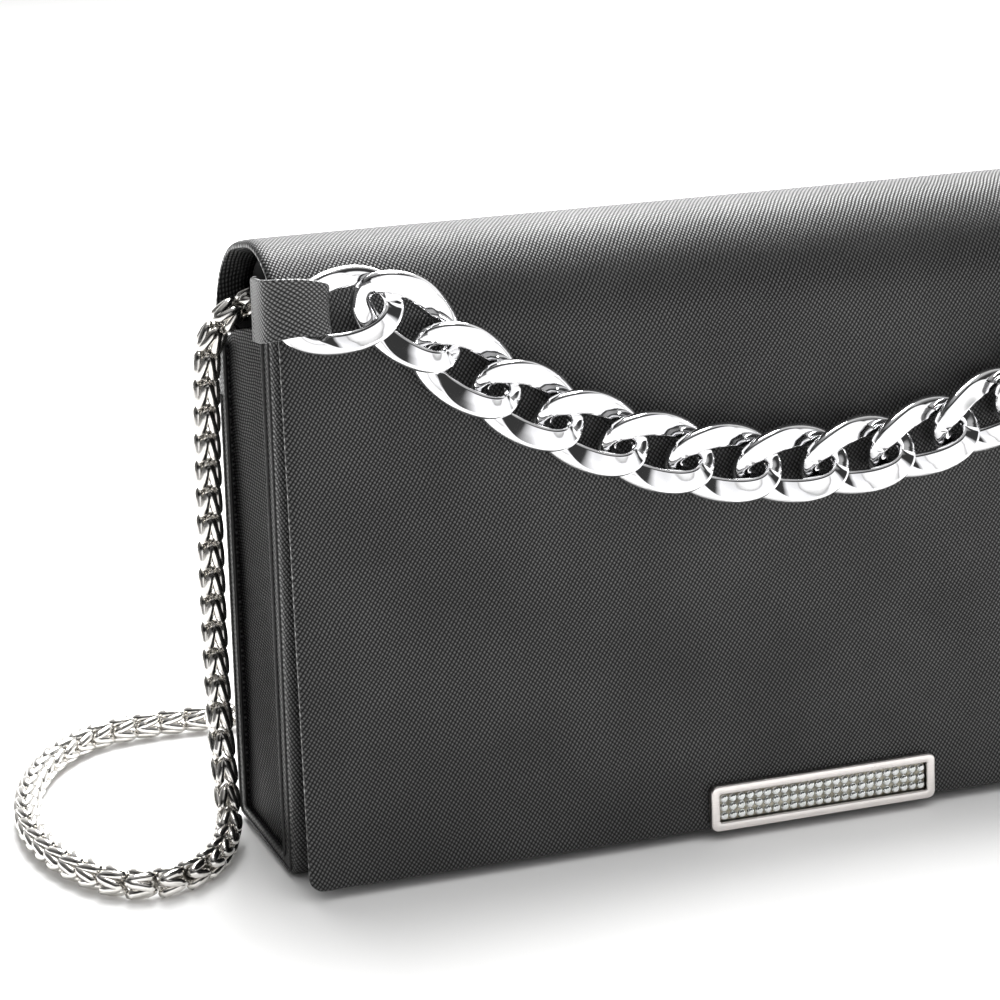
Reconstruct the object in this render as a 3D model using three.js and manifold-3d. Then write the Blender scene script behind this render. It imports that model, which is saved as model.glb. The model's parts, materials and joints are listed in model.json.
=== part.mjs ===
// Evening bag: a flap clutch in cross-grained leather with a chunky curb-chain handle across the
// front, a jewelled closure plate and a long wheat-link shoulder chain.
// Millimetres. X runs along the width, Y from the front (-) to the back (+), Z up.
// The origin is the middle of the flat underside that the bag stands on.

import * as THREE from 'three';
import { mergeVertices } from 'three/addons/utils/BufferGeometryUtils.js';
import Module from 'manifold-3d';

const wasm = await Module();
wasm.setup();

// ---- Driving sizes of the body ----
const BAG_WIDTH = 250;
const BODY_DEPTH = 49;
const GAP = 0.3;                 // air left between two pieces that touch
const SKIN = 1.2;                // outer leather
const BOARD = 1.2;               // stiffening board behind the leather
const LINING = 0.8;              // inner lining, glued to its own thin backing
const BODY_EDGE_RADIUS = 3;      // front and back panels turning to the sides
const BASE_RADIUS = 8;           // front and back edges of the base, turning up to the panels
const BASE_TOP = 8.5;            // the base ends here and the upright panels begin
const EDGE_RETURN = 8;           // how far a panel turns round on to the side
const FRONT_TOP = 131;
const BACK_TOP = 117;
const HALF_WIDTH = BAG_WIDTH / 2;
const HALF_DEPTH = BODY_DEPTH / 2;

// ---- Gussets: the side panels, set in a little from the turned edges ----
const GUSSET_INSET = SKIN + GAP + 0.4;
const GUSSET_FRONT_TOP = 129.5;
const GUSSET_SHOULDER = [12, 121];   // the top edge dips faster behind this point (y, z)
const GUSSET_BACK_TOP = 115;
const PIPING_WIDTH = 2.4;
const PIPING_HEIGHT = 1.4;

// ---- Flap: rises from the back edge, rolls over the top and hangs in front ----
const FLAP_STANDOFF = 12.5;      // outer face ahead of the front panel, at the foot
const FLAP_LEAN = THREE.MathUtils.degToRad(2.9);
const FLAP_FOOT = 2.5;           // height of the free edge
const ROLL_SLOPE = THREE.MathUtils.degToRad(12.6);
const ROLL_BACK_RADIUS = 26;
const ROLL_FRONT_RADIUS = 22;
const FLAP_BOARD = 0.8;
const FLAP_SKIN = SKIN;
const FLAP_BOARD_OFFSET = FLAP_SKIN + GAP;
const FLAP_LINING_OFFSET = FLAP_BOARD_OFFSET + FLAP_BOARD + GAP;
const FLAP_THICKNESS = FLAP_LINING_OFFSET + LINING;

// ---- Closure: jewelled plate outside, two magnets inside ----
const PLATE_WIDTH = 57.5;
const PLATE_HEIGHT = 11;
const PLATE_DEPTH = 1.6;
const PLATE_BORDER = 2.1;
const CRYSTAL_ROWS = 3;
const CRYSTAL_COLUMNS = 24;
const CRYSTAL_PITCH = 2.2;
const CRYSTAL_RADIUS = 1.0;
const MAGNET_RADIUS = 7;
const MAGNET_THICKNESS = 2.8;
const MAGNET_HEIGHT = 16;        // above the ground

// ---- Curb-chain handle: 14 links between two end rings, hung as a catenary ----
const LINK_COUNT = 14;
const LINK_PITCH = 16.6;
const LINK_LENGTH = 28.6;
const LINK_WIDTH = 18.4;
const LINK_TWIST = 2.3;          // how far the wire swings in front and behind
const LINK_HALF_THICKNESS = 1.7;
const LINK_SIDE_HALF_WIDTH = 3.2;
const LINK_END_HALF_WIDTH = 2.4;
const CATENARY_SIZE = 123;
const HANDLE_LOW_POINT = 88.3;   // middle of the band at the centre of the bag
const HANDLE_OFFSET = 4.7;       // middle of the band ahead of the flap's face
const END_LINK_LIFT = 1.5;       // the first and last link are held up by their rings
const RING_LENGTH = 28.6;
const RING_WIDTH = 20.5;
const RING_TWIST = 1.9;
const RING_HALF_THICKNESS = 1.2;
const RING_HALF_WIDTH = 2.3;
const RING_TILT = THREE.MathUtils.degToRad(-4);
const RING_X = 112.7;
const RING_HEIGHT = 134.9;

// ---- Leather tabs that hold the end rings ----
const TAB_THICKNESS = 1.2;
const TAB_WIDTH = 12.5;          // of the strap where it is sewn on
const TAB_FOLD_WIDTH = 9.2;      // gathered in where it passes through the ring
const TAB_FOLD_X = 115.3;        // where the loop folds inside the ring
const TAB_LEVEL = 134.4;         // height of the middle of the loop
const TAB_ROOT_DROP = 4.5;       // the sewn end sits this much lower

// ---- Shoulder chain ----
const CHAIN_DIAMETER = 7;
const CHAIN_SIDES = 8;
const CHAIN_FLOOR = CHAIN_DIAMETER / 2 + 0.3;
const COIL_RADIUS = 35;
const COIL_TURNS = 2;
const COIL_CENTRE = [35, 76];
const D_RING_Y = 8;
const D_RING_HEIGHT = 123.5;     // middle of the ring, standing above its leather loop
const D_RING_SIZE = 14;
const D_RING_X = 114.2;
const END_LINK_RADIUS = 3.6;
const END_LINK_WIRE = 0.8;
const END_LINK_HEIGHT = 129.2;

// ---- Finishes ----
const leather = new THREE.MeshStandardMaterial({ color: 0x17181a, roughness: 0.45 });
const lining = new THREE.MeshStandardMaterial({ color: 0x1d1d20, roughness: 0.9 });
const board = new THREE.MeshStandardMaterial({ color: 0x8c8272, roughness: 0.95 });
const chrome = new THREE.MeshStandardMaterial({ color: 0xe9ebee, roughness: 0.08, metalness: 1 });
const nickel = new THREE.MeshStandardMaterial({ color: 0xd6d2c8, roughness: 0.2, metalness: 1 });
const crystal = new THREE.MeshStandardMaterial({ color: 0xf3f1ee, roughness: 0.05 });
const steel = new THREE.MeshStandardMaterial({ color: 0xb8bcc0, roughness: 0.3, metalness: 1 });

// ---- Solid helpers ----

function toSolid(geometry) {
  const bare = geometry.clone();
  bare.deleteAttribute('normal');
  bare.deleteAttribute('uv');
  const merged = mergeVertices(bare, 1e-4);
  return new wasm.Manifold(new wasm.Mesh({
    numProp: 3,
    vertProperties: new Float32Array(merged.attributes.position.array),
    triVerts: new Uint32Array(merged.index.array),
  }));
}

function toGeometry(solid) {
  const mesh = solid.getMesh();
  const geometry = new THREE.BufferGeometry();
  geometry.setAttribute('position', new THREE.BufferAttribute(mesh.vertProperties, 3));
  geometry.setIndex(new THREE.BufferAttribute(mesh.triVerts, 1));
  return geometry;
}

function piece(name, geometry, material, [x, y, z] = [0, 0, 0]) {
  const mesh = new THREE.Mesh(geometry, material);
  mesh.name = name;
  mesh.position.set(x, y, z);
  return mesh;
}

// A YZ outline drawn along X, centred on x = 0.
function alongX(shape, length, curveSegments = 6) {
  const geometry = new THREE.ExtrudeGeometry(shape, { depth: length, bevelEnabled: false, curveSegments });
  geometry.translate(0, 0, -length / 2);
  const turn = new THREE.Matrix4().makeBasis(
    new THREE.Vector3(0, 1, 0), new THREE.Vector3(0, 0, 1), new THREE.Vector3(1, 0, 0));
  return geometry.applyMatrix4(turn);
}

// An XY outline drawn up Z from the given height.
function alongZ(shape, bottom, top, curveSegments = 5) {
  const geometry = new THREE.ExtrudeGeometry(shape, { depth: top - bottom, bevelEnabled: false, curveSegments });
  return geometry.translate(0, 0, bottom);
}

// An XZ outline drawn towards -Y, from the y given forward by the depth.
function alongY(shape, depth, curveSegments = 5) {
  const geometry = new THREE.ExtrudeGeometry(shape, { depth, bevelEnabled: false, curveSegments });
  return geometry.rotateX(Math.PI / 2);
}

function roundedRectangle(width, height, topRadius, bottomRadius = topRadius, ShapeType = THREE.Shape) {
  const x = width / 2;
  const y = height / 2;
  const shape = new ShapeType();
  shape.moveTo(-x, -y + bottomRadius);
  shape.absarc(-x + bottomRadius, -y + bottomRadius, bottomRadius, Math.PI, 1.5 * Math.PI, false);
  shape.absarc(x - bottomRadius, -y + bottomRadius, bottomRadius, -Math.PI / 2, 0, false);
  shape.absarc(x - topRadius, y - topRadius, topRadius, 0, Math.PI / 2, false);
  shape.absarc(-x + topRadius, y - topRadius, topRadius, Math.PI / 2, Math.PI, false);
  return shape;
}

// A U that opens upwards: outer half width and bottom, wall thickness, straight tops.
function uShape(halfWidth, bottom, radius, wall, leftTop, rightTop) {
  const shape = new THREE.Shape();
  const inner = halfWidth - wall;
  const centre = halfWidth - radius;
  const level = bottom + radius;
  shape.absarc(-centre, level, radius, Math.PI, 1.5 * Math.PI, false);
  shape.absarc(centre, level, radius, 1.5 * Math.PI, 2 * Math.PI, false);
  shape.lineTo(halfWidth, rightTop);
  shape.lineTo(inner, rightTop);
  shape.absarc(centre, level, radius - wall, 0, -Math.PI / 2, true);
  shape.absarc(-centre, level, radius - wall, -Math.PI / 2, -Math.PI, true);
  shape.lineTo(-inner, leftTop);
  shape.lineTo(-halfWidth, leftTop);
  return shape;
}

// ---- Body ----

// Front and back panels: a flat face whose two sides turn round on to the gussets.
function turnedPanel(name, top, facing) {
  const shape = new THREE.Shape();
  const r = BODY_EDGE_RADIUS;
  const inside = r - SKIN;
  const x = HALF_WIDTH - r;
  shape.absarc(-x, r, r, Math.PI, 1.5 * Math.PI, false);
  shape.absarc(x, r, r, 1.5 * Math.PI, 2 * Math.PI, false);
  shape.lineTo(HALF_WIDTH, EDGE_RETURN);
  shape.lineTo(HALF_WIDTH - SKIN, EDGE_RETURN);
  shape.absarc(x, r, inside, 0, -Math.PI / 2, true);
  shape.absarc(-x, r, inside, -Math.PI / 2, -Math.PI, true);
  shape.lineTo(-HALF_WIDTH + SKIN, EDGE_RETURN);
  shape.lineTo(-HALF_WIDTH, EDGE_RETURN);
  const geometry = alongZ(shape, BASE_TOP + GAP, top);
  if (facing > 0) geometry.rotateZ(Math.PI);
  return piece(name, geometry, leather, [0, facing * HALF_DEPTH, 0]);
}

function basePanel() {
  const outline = uShape(HALF_DEPTH, 0, BASE_RADIUS, SKIN, BASE_TOP, BASE_TOP);
  return piece('base_panel', alongX(outline, BAG_WIDTH), leather);
}

function plate(name, size, centre, material) {
  return piece(name, new THREE.BoxGeometry(...size), material, centre);
}

// Boards and linings stand in layers behind the leather of the front, the back and the base.
const BOARD_FACE = HALF_DEPTH - SKIN - GAP;
const LINING_FACE = BOARD_FACE - BOARD - GAP;
const INNER_FACE = LINING_FACE - LINING;
const LAYER_WIDTH = 2 * (HALF_WIDTH - GUSSET_INSET - SKIN - GAP);
const LAYER_FOOT = BASE_TOP;

function wallLayers(side, facing, top) {
  const boardTop = top - 3;
  const liningTop = top - 1;
  const boardHeight = boardTop - LAYER_FOOT;
  const liningHeight = liningTop - LAYER_FOOT;
  return [
    plate(`${side}_board`, [LAYER_WIDTH, BOARD, boardHeight],
      [0, facing * (BOARD_FACE - BOARD / 2), LAYER_FOOT + boardHeight / 2], board),
    plate(`${side}_lining`, [LAYER_WIDTH, LINING, liningHeight],
      [0, facing * (LINING_FACE - LINING / 2), LAYER_FOOT + liningHeight / 2], lining),
  ];
}

function baseLayers() {
  const depth = 2 * (HALF_DEPTH - BASE_RADIUS);
  const boardLevel = SKIN + GAP;
  const liningLevel = boardLevel + BOARD + GAP;
  const liningDepth = 2 * (INNER_FACE - GAP);
  return [
    plate('base_board', [LAYER_WIDTH, depth, BOARD], [0, 0, boardLevel + BOARD / 2], board),
    plate('base_lining', [LAYER_WIDTH - 2 * (LINING + GAP), liningDepth, LINING],
      [0, 0, liningLevel + LINING / 2], lining),
  ];
}

// One side panel, its top edge falling from the front to the lower back.
function gusset(side, sign) {
  const outline = new THREE.Shape();
  const half = HALF_DEPTH - SKIN - 2 * GAP;
  const bottom = SKIN + GAP;
  const radius = BASE_RADIUS - SKIN - GAP;
  outline.absarc(-half + radius, bottom + radius, radius, Math.PI, 1.5 * Math.PI, false);
  outline.absarc(half - radius, bottom + radius, radius, 1.5 * Math.PI, 2 * Math.PI, false);
  outline.lineTo(half, GUSSET_BACK_TOP);
  outline.lineTo(GUSSET_SHOULDER[0], GUSSET_SHOULDER[1]);
  outline.lineTo(-half, GUSSET_FRONT_TOP);
  const x = sign * (HALF_WIDTH - GUSSET_INSET - SKIN / 2);
  return piece(`gusset_${side}`, alongX(outline, SKIN), leather, [x, 0, 0]);
}

function gussetLining(side, sign) {
  const half = INNER_FACE - GAP;
  const bottom = SKIN + BOARD + LINING + 4 * GAP;
  const outline = new THREE.Shape();
  outline.moveTo(-half, bottom);
  outline.lineTo(half, bottom);
  outline.lineTo(half, GUSSET_BACK_TOP);
  outline.lineTo(GUSSET_SHOULDER[0], GUSSET_SHOULDER[1]);
  outline.lineTo(-half, GUSSET_FRONT_TOP);
  const x = sign * (HALF_WIDTH - GUSSET_INSET - SKIN - GAP - LINING / 2);
  return piece(`gusset_lining_${side}`, alongX(outline, LINING), lining, [x, 0, 0]);
}

// The raised double edge between the turned panels and the gusset.
function piping(side, sign) {
  const half = HALF_DEPTH - EDGE_RETURN - GAP;
  const bottom = SKIN + GAP + 1;
  const outline = uShape(half, bottom, BASE_RADIUS - 2, PIPING_WIDTH, GUSSET_FRONT_TOP - 3, GUSSET_BACK_TOP - 1);
  const x = sign * (HALF_WIDTH - GUSSET_INSET + GAP + PIPING_HEIGHT / 2);
  return piece(`gusset_piping_${side}`, alongX(outline, PIPING_HEIGHT), leather, [x, 0, 0]);
}

// A pocket glued to the back lining, open at the top.
const POCKET_WIDTH = 120;
const POCKET_HEIGHT = 62;
const POCKET_DEPTH = 6.5;
const POCKET_FOOT = 34;

function slipPocket() {
  const outer = toSolid(new THREE.BoxGeometry(POCKET_WIDTH, POCKET_DEPTH, POCKET_HEIGHT));
  const hollow = new THREE.BoxGeometry(POCKET_WIDTH - 2 * LINING, POCKET_DEPTH, POCKET_HEIGHT);
  hollow.translate(0, LINING, LINING);
  const geometry = toGeometry(outer.subtract(toSolid(hollow)));
  const y = INNER_FACE - GAP - POCKET_DEPTH / 2;
  return piece('slip_pocket', geometry, lining, [0, y, POCKET_FOOT + POCKET_HEIGHT / 2]);
}

function magnet(name) {
  return piece(name, new THREE.CylinderGeometry(MAGNET_RADIUS, MAGNET_RADIUS, MAGNET_THICKNESS, 20), steel);
}

function bodyMagnet() {
  const body = magnet('body_magnet');
  body.position.set(0, -HALF_DEPTH - GAP - MAGNET_THICKNESS / 2, MAGNET_HEIGHT);
  return body;
}

// ---- Chain anchors inside the two gussets ----

// A D-shaped ring of round wire: a half circle closed by a straight bar.
function dRing() {
  const half = D_RING_SIZE / 2;
  const wire = 1.1;
  const outer = roundedRectangle(2 * half, 2 * half, half - 0.01, 2);
  outer.holes.push(roundedRectangle(2 * (half - 2 * wire), 2 * (half - 2 * wire), half - 2 * wire - 0.01, 1, THREE.Path));
  return alongX(outer, 2 * wire, 4);
}

function chainAnchor(side, sign) {
  const strap = [4.8, 9, 18];
  const liningFace = HALF_WIDTH - GUSSET_INSET - SKIN - 2 * GAP - LINING;
  const strapX = sign * (liningFace - strap[0] / 2);
  const strapTop = D_RING_HEIGHT - D_RING_SIZE / 2 + 2;
  const endLink = new THREE.TorusGeometry(END_LINK_RADIUS, END_LINK_WIRE, 6, 14);
  endLink.rotateX(Math.PI / 2);
  return [
    plate(`d_ring_loop_${side}`, strap, [strapX, D_RING_Y, strapTop - strap[2] / 2], leather),
    piece(`d_ring_${side}`, dRing(), nickel, [sign * D_RING_X, D_RING_Y, D_RING_HEIGHT]),
    piece(`chain_end_link_${side}`, endLink, nickel, [sign * (D_RING_X + 0.6), D_RING_Y, END_LINK_HEIGHT]),
  ];
}

// ---- Flap ----

const HINGE = new THREE.Vector2(HALF_DEPTH, BACK_TOP + 0.65);
const FACE_NORMAL = new THREE.Vector2(-Math.cos(FLAP_LEAN), Math.sin(FLAP_LEAN));
const FACE_DOWN = new THREE.Vector2(-Math.sin(FLAP_LEAN), -Math.cos(FLAP_LEAN));
const FACE_FOOT = new THREE.Vector2(-HALF_DEPTH - FLAP_STANDOFF, 0);
const BACK_CENTRE = new THREE.Vector2(HINGE.x - ROLL_BACK_RADIUS, HINGE.y);

// The front roll touches both the sloping top line and the leaning front face.
function frontRollCentre() {
  const across = new THREE.Vector2(Math.sin(ROLL_SLOPE), Math.cos(ROLL_SLOPE));
  const along = new THREE.Vector2(-Math.cos(ROLL_SLOPE), Math.sin(ROLL_SLOPE));
  const start = BACK_CENTRE.clone().addScaledVector(across, ROLL_BACK_RADIUS - ROLL_FRONT_RADIUS);
  const reach = -ROLL_FRONT_RADIUS - start.clone().sub(FACE_FOOT).dot(FACE_NORMAL);
  return start.addScaledVector(along, reach / along.dot(FACE_NORMAL));
}
const FRONT_CENTRE = frontRollCentre();
const TOP_ANGLE = Math.PI / 2 - ROLL_SLOPE;
const FACE_ANGLE = Math.PI - FLAP_LEAN;

// A point of the flap's section, the given distance in from its outer surface.
function facePoint(offset, height) {
  const drop = (FACE_FOOT.y - height) / FACE_DOWN.y;
  const foot = FACE_FOOT.clone().addScaledVector(FACE_NORMAL, -offset);
  return foot.addScaledVector(FACE_DOWN, -drop);
}

// Section of one flap layer between two offsets, from a start angle on the back roll to a foot height.
function flapSection(outer, inner, startAngle, footHeight) {
  const shape = new THREE.Shape();
  const outerFoot = facePoint(outer, footHeight);
  const innerFoot = facePoint(inner, footHeight);
  shape.absarc(BACK_CENTRE.x, BACK_CENTRE.y, ROLL_BACK_RADIUS - outer, startAngle, TOP_ANGLE, false);
  shape.absarc(FRONT_CENTRE.x, FRONT_CENTRE.y, ROLL_FRONT_RADIUS - outer, TOP_ANGLE, FACE_ANGLE, false);
  if (footHeight !== null) {
    shape.lineTo(outerFoot.x, outerFoot.y);
    shape.lineTo(innerFoot.x, innerFoot.y);
  }
  shape.absarc(FRONT_CENTRE.x, FRONT_CENTRE.y, ROLL_FRONT_RADIUS - inner, FACE_ANGLE, TOP_ANGLE, true);
  shape.absarc(BACK_CENTRE.x, BACK_CENTRE.y, ROLL_BACK_RADIUS - inner, TOP_ANGLE, startAngle, true);
  return shape;
}

const ROLL_SEGMENTS = 12;

function flapLayers() {
  const inset = 2;
  const skin = flapSection(0, FLAP_SKIN, 0, FLAP_FOOT);
  const liningSection = flapSection(FLAP_LINING_OFFSET, FLAP_THICKNESS, 0, FLAP_FOOT + inset);
  const rollSection = flapSection(FLAP_BOARD_OFFSET, FLAP_BOARD_OFFSET + FLAP_BOARD, 0.05, null);
  const boardTop = FRONT_CENTRE.y - 2;
  const boardFoot = FLAP_FOOT + inset;
  const boardLength = (boardTop - boardFoot) / Math.cos(FLAP_LEAN);
  const middle = facePoint(FLAP_BOARD_OFFSET + FLAP_BOARD / 2, (boardTop + boardFoot) / 2);
  const flapBoard = plate('flap_board', [BAG_WIDTH - 2 * inset, FLAP_BOARD, boardLength],
    [0, middle.x, middle.y], board);
  flapBoard.rotation.x = -FLAP_LEAN;
  return [
    piece('flap_skin', alongX(skin, BAG_WIDTH, ROLL_SEGMENTS), leather),
    piece('flap_roll_stiffener', alongX(rollSection, BAG_WIDTH - 2 * inset, ROLL_SEGMENTS), board),
    flapBoard,
    piece('flap_lining', alongX(liningSection, BAG_WIDTH - inset, ROLL_SEGMENTS), lining),
  ];
}

// Everything mounted on the front face is placed in a frame that leans with it:
// its y is the distance out from the face (negative is outwards), its z runs up the face.
function faceFrame() {
  const frame = new THREE.Group();
  frame.position.set(0, FACE_FOOT.x, FACE_FOOT.y);
  frame.rotation.x = -FLAP_LEAN;
  return frame;
}

function closurePlate() {
  const outer = roundedRectangle(PLATE_WIDTH, PLATE_HEIGHT, 2, 1);
  const hole = roundedRectangle(PLATE_WIDTH - 2 * PLATE_BORDER, PLATE_HEIGHT - 2 * PLATE_BORDER, 0.5, 0.5, THREE.Path);
  outer.holes.push(hole);
  const middle = FLAP_FOOT + PLATE_HEIGHT / 2;
  return piece('closure_plate', alongY(outer, PLATE_DEPTH), chrome, [0, -GAP, middle]);
}

// All the crystals sit on one strip, three rows deep.
function crystalStrip() {
  const width = PLATE_WIDTH - 2 * PLATE_BORDER - 2 * GAP;
  const height = PLATE_HEIGHT - 2 * PLATE_BORDER - 2 * GAP;
  const bed = 0.6;
  const rise = 0.7;
  const sunk = 0.2;
  const base = new THREE.BoxGeometry(width, bed, height);
  base.translate(0, -GAP - bed / 2, 0);
  let solid = toSolid(base);
  for (let row = 0; row < CRYSTAL_ROWS; row += 1) {
    for (let column = 0; column < CRYSTAL_COLUMNS; column += 1) {
      const stone = new THREE.CylinderGeometry(CRYSTAL_RADIUS * 0.55, CRYSTAL_RADIUS, rise + sunk, 4);
      stone.rotateX(Math.PI);
      const x = (column - (CRYSTAL_COLUMNS - 1) / 2) * CRYSTAL_PITCH;
      const z = (row - (CRYSTAL_ROWS - 1) / 2) * (CRYSTAL_PITCH - 0.1);
      stone.translate(x, -GAP - bed - (rise - sunk) / 2, z);
      solid = solid.add(toSolid(stone));
    }
  }
  const middle = FLAP_FOOT + PLATE_HEIGHT / 2;
  return piece('crystal_strip', toGeometry(solid), crystal, [0, 0, middle]);
}

function flapMagnet() {
  const inner = magnet('flap_magnet');
  inner.position.set(0, FLAP_THICKNESS + GAP + MAGNET_THICKNESS / 2, MAGNET_HEIGHT);
  return inner;
}

// ---- Curb-chain handle ----

// A closed oval of flattened wire. It swings behind at the upper end of each side and in front
// at the lower end, so that its neighbours pass through it.
function curbLink(length, width, twist, halfThickness, sideHalfWidth) {
  const aroundSteps = 18;
  const sectionSteps = 7;
  const geometry = new THREE.TorusGeometry(1, 0.1, sectionSteps, aroundSteps);
  const position = geometry.attributes.position;
  const a = length / 2 - LINK_END_HALF_WIDTH;
  const b = width / 2 - sideHalfWidth;
  for (let j = 0; j <= sectionSteps; j += 1) {
    for (let i = 0; i <= aroundSteps; i += 1) {
      const u = 2 * Math.PI * (i % aroundSteps) / aroundSteps;
      const v = 2 * Math.PI * (j % sectionSteps) / sectionSteps;
      const across = new THREE.Vector2(b * Math.cos(u), a * Math.sin(u)).normalize();
      const half = LINK_END_HALF_WIDTH + (sideHalfWidth - LINK_END_HALF_WIDTH) * Math.sin(u) ** 2;
      const x = a * Math.cos(u) + across.x * half * Math.cos(v);
      const z = b * Math.sin(u) + across.y * half * Math.cos(v);
      const y = twist * Math.sin(2 * u) - halfThickness * Math.sin(v);
      position.setXYZ(j * (aroundSteps + 1) + i, x, y, z);
    }
  }
  return geometry;
}

function handleLinks() {
  const links = [];
  for (let i = 0; i < LINK_COUNT; i += 1) {
    const run = (i - (LINK_COUNT - 1) / 2) * LINK_PITCH;
    const x = CATENARY_SIZE * Math.asinh(run / CATENARY_SIZE);
    const atEnd = i === 0 || i === LINK_COUNT - 1;
    const hang = CATENARY_SIZE * (Math.cosh(x / CATENARY_SIZE) - 1);
    const z = HANDLE_LOW_POINT + hang + (atEnd ? END_LINK_LIFT : 0);
    const name = `curb_link_${String(i + 1).padStart(2, '0')}`;
    const oval = curbLink(LINK_LENGTH, LINK_WIDTH, LINK_TWIST, LINK_HALF_THICKNESS, LINK_SIDE_HALF_WIDTH);
    const link = piece(name, oval, chrome, [x, -HANDLE_OFFSET, z]);
    link.rotation.y = -Math.atan(Math.sinh(x / CATENARY_SIZE));
    links.push(link);
  }
  for (const [side, sign] of [['left', -1], ['right', 1]]) {
    const oval = curbLink(RING_LENGTH, RING_WIDTH, RING_TWIST, RING_HALF_THICKNESS, RING_HALF_WIDTH);
    const ring = piece(`end_ring_${side}`, oval, chrome, [sign * RING_X, -HANDLE_OFFSET, RING_HEIGHT]);
    ring.rotation.y = -sign * RING_TILT;
    links.push(ring);
  }
  return links;
}

// ---- Leather tabs ----

// The loop: out from the flap's edge, over the ring's end, folded inside the ring and back.
function tabLoop(side, sign) {
  const back = -GAP;
  const edge = HALF_WIDTH + GAP;
  const bulge = edge + 1.8;
  const front = -2 * HANDLE_OFFSET + GAP;
  const middle = (back + front) / 2;
  const t = TAB_THICKNESS;
  const foldRadius = (back - front) / 2;
  const foldX = TAB_FOLD_X + foldRadius;
  const shape = new THREE.Shape();
  shape.moveTo(edge, FLAP_THICKNESS);
  shape.lineTo(edge, back);
  shape.lineTo(foldX, back);
  shape.absarc(foldX, middle, foldRadius, Math.PI / 2, 1.5 * Math.PI, false);
  shape.lineTo(edge, front);
  shape.lineTo(bulge + t, middle - 2.2);
  shape.lineTo(bulge + t, middle + 2);
  shape.lineTo(edge + t, FLAP_THICKNESS);
  const hollow = new THREE.Path();
  hollow.moveTo(edge, back - t);
  hollow.lineTo(bulge, middle + 2);
  hollow.lineTo(bulge, middle - 1.8);
  hollow.lineTo(edge - 0.6, front + t);
  hollow.lineTo(foldX, front + t);
  hollow.absarc(foldX, middle, foldRadius - t, 1.5 * Math.PI, Math.PI / 2, true);
  shape.holes.push(hollow);
  const geometry = alongZ(shape, -TAB_FOLD_WIDTH / 2, TAB_FOLD_WIDTH / 2, 6);
  if (sign < 0) geometry.applyMatrix4(new THREE.Matrix4().makeScale(-1, 1, 1));
  const loop = piece(`tab_loop_${side}`, sign < 0 ? reversed(geometry) : geometry, leather, [0, 0, TAB_LEVEL]);
  return loop;
}

// Turns the faces of a mirrored mesh the right way out.
function reversed(geometry) {
  const mesh = mergeVertices(geometry);
  const index = mesh.index.array;
  for (let i = 0; i < index.length; i += 3) {
    [index[i], index[i + 1]] = [index[i + 1], index[i]];
  }
  return mesh;
}

// The sewn end: a short strap lying on the turned edge of the front panel.
function tabRoot(side, sign) {
  const back = -HALF_DEPTH + EDGE_RETURN + PIPING_WIDTH;
  const front = -HALF_DEPTH - 1.5;
  const top = TAB_LEVEL + TAB_FOLD_WIDTH / 2;
  const outline = new THREE.Shape();
  outline.moveTo(front, top - TAB_WIDTH);
  outline.lineTo(back, top - TAB_WIDTH - TAB_ROOT_DROP);
  outline.lineTo(back, top - TAB_ROOT_DROP);
  outline.lineTo(front, top);
  const x = sign * (HALF_WIDTH + GAP + TAB_THICKNESS / 2);
  return piece(`tab_root_${side}`, alongX(outline, TAB_THICKNESS), leather, [x, 0, 0]);
}

// ---- Shoulder chain ----

// Rises from the D-ring, bends over the top of the gusset and hangs down outside it.
const CHAIN_RISE = [
  [-119.8, 8, 128.3], [-121.7, 8.1, 127.7], [-124, 8.2, 126.6], [-126.9, 8.5, 124.4],
  [-129.1, 9, 121.5], [-130.5, 9.5, 118.1], [-131, 10.2, 114], [-131.1, 11.8, 104],
  [-131.1, 13.4, 90], [-131, 15, 70], [-131, 15.8, 48], [-131, 14.8, 28],
];
// On the ground to the left of the bag: a loose loop that ends up behind it.
const CHAIN_LEFT_LOOP = [
  [-131.2, 11.5, 13], [-132.4, 5, 5.4], [-136.4, -4.4, CHAIN_FLOOR], [-143, -14, CHAIN_FLOOR],
  [-152, -19.4, CHAIN_FLOOR], [-161, -18, CHAIN_FLOOR], [-168.5, -8.6, CHAIN_FLOOR],
  [-174, 8, CHAIN_FLOOR], [-174.8, 29, CHAIN_FLOOR], [-169, 51, CHAIN_FLOOR],
  [-159.5, 68, CHAIN_FLOOR], [-147, 78.6, CHAIN_FLOOR], [-133, 81.6, CHAIN_FLOOR],
  [-115, 80.6, CHAIN_FLOOR], [-92, 74, CHAIN_FLOOR], [-66, 61, CHAIN_FLOOR],
  [-40, 49, CHAIN_FLOOR], [-16, 43, CHAIN_FLOOR], [8, 41.1, CHAIN_FLOOR],
];
// From the coil, down off its top turn and round to the right-hand side.
const COIL_TOP = CHAIN_FLOOR + CHAIN_DIAMETER * (COIL_TURNS - 1);
const CHAIN_RIGHT_LOOP = [
  [62, 41.1, COIL_TOP], [76, 42, 7.6], [92, 44.6, CHAIN_FLOOR], [110, 47, CHAIN_FLOOR],
  [128, 44, CHAIN_FLOOR], [139.4, 33, 4.9], [137.6, 22, 9.8],
];

function mirroredRise() {
  return CHAIN_RISE.map(([x, y, z]) => [-x, y, z]).reverse();
}

function chainTube(name, points, steps) {
  const path = new THREE.CatmullRomCurve3(points.map(([x, y, z]) => new THREE.Vector3(x, y, z)));
  const section = new THREE.Shape();
  section.absarc(0, 0, CHAIN_DIAMETER / 2, 0, 2 * Math.PI, false);
  const geometry = new THREE.ExtrudeGeometry(section, {
    steps, curveSegments: CHAIN_SIDES / 2, bevelEnabled: false, extrudePath: path,
  });
  return piece(name, geometry, nickel);
}

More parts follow.
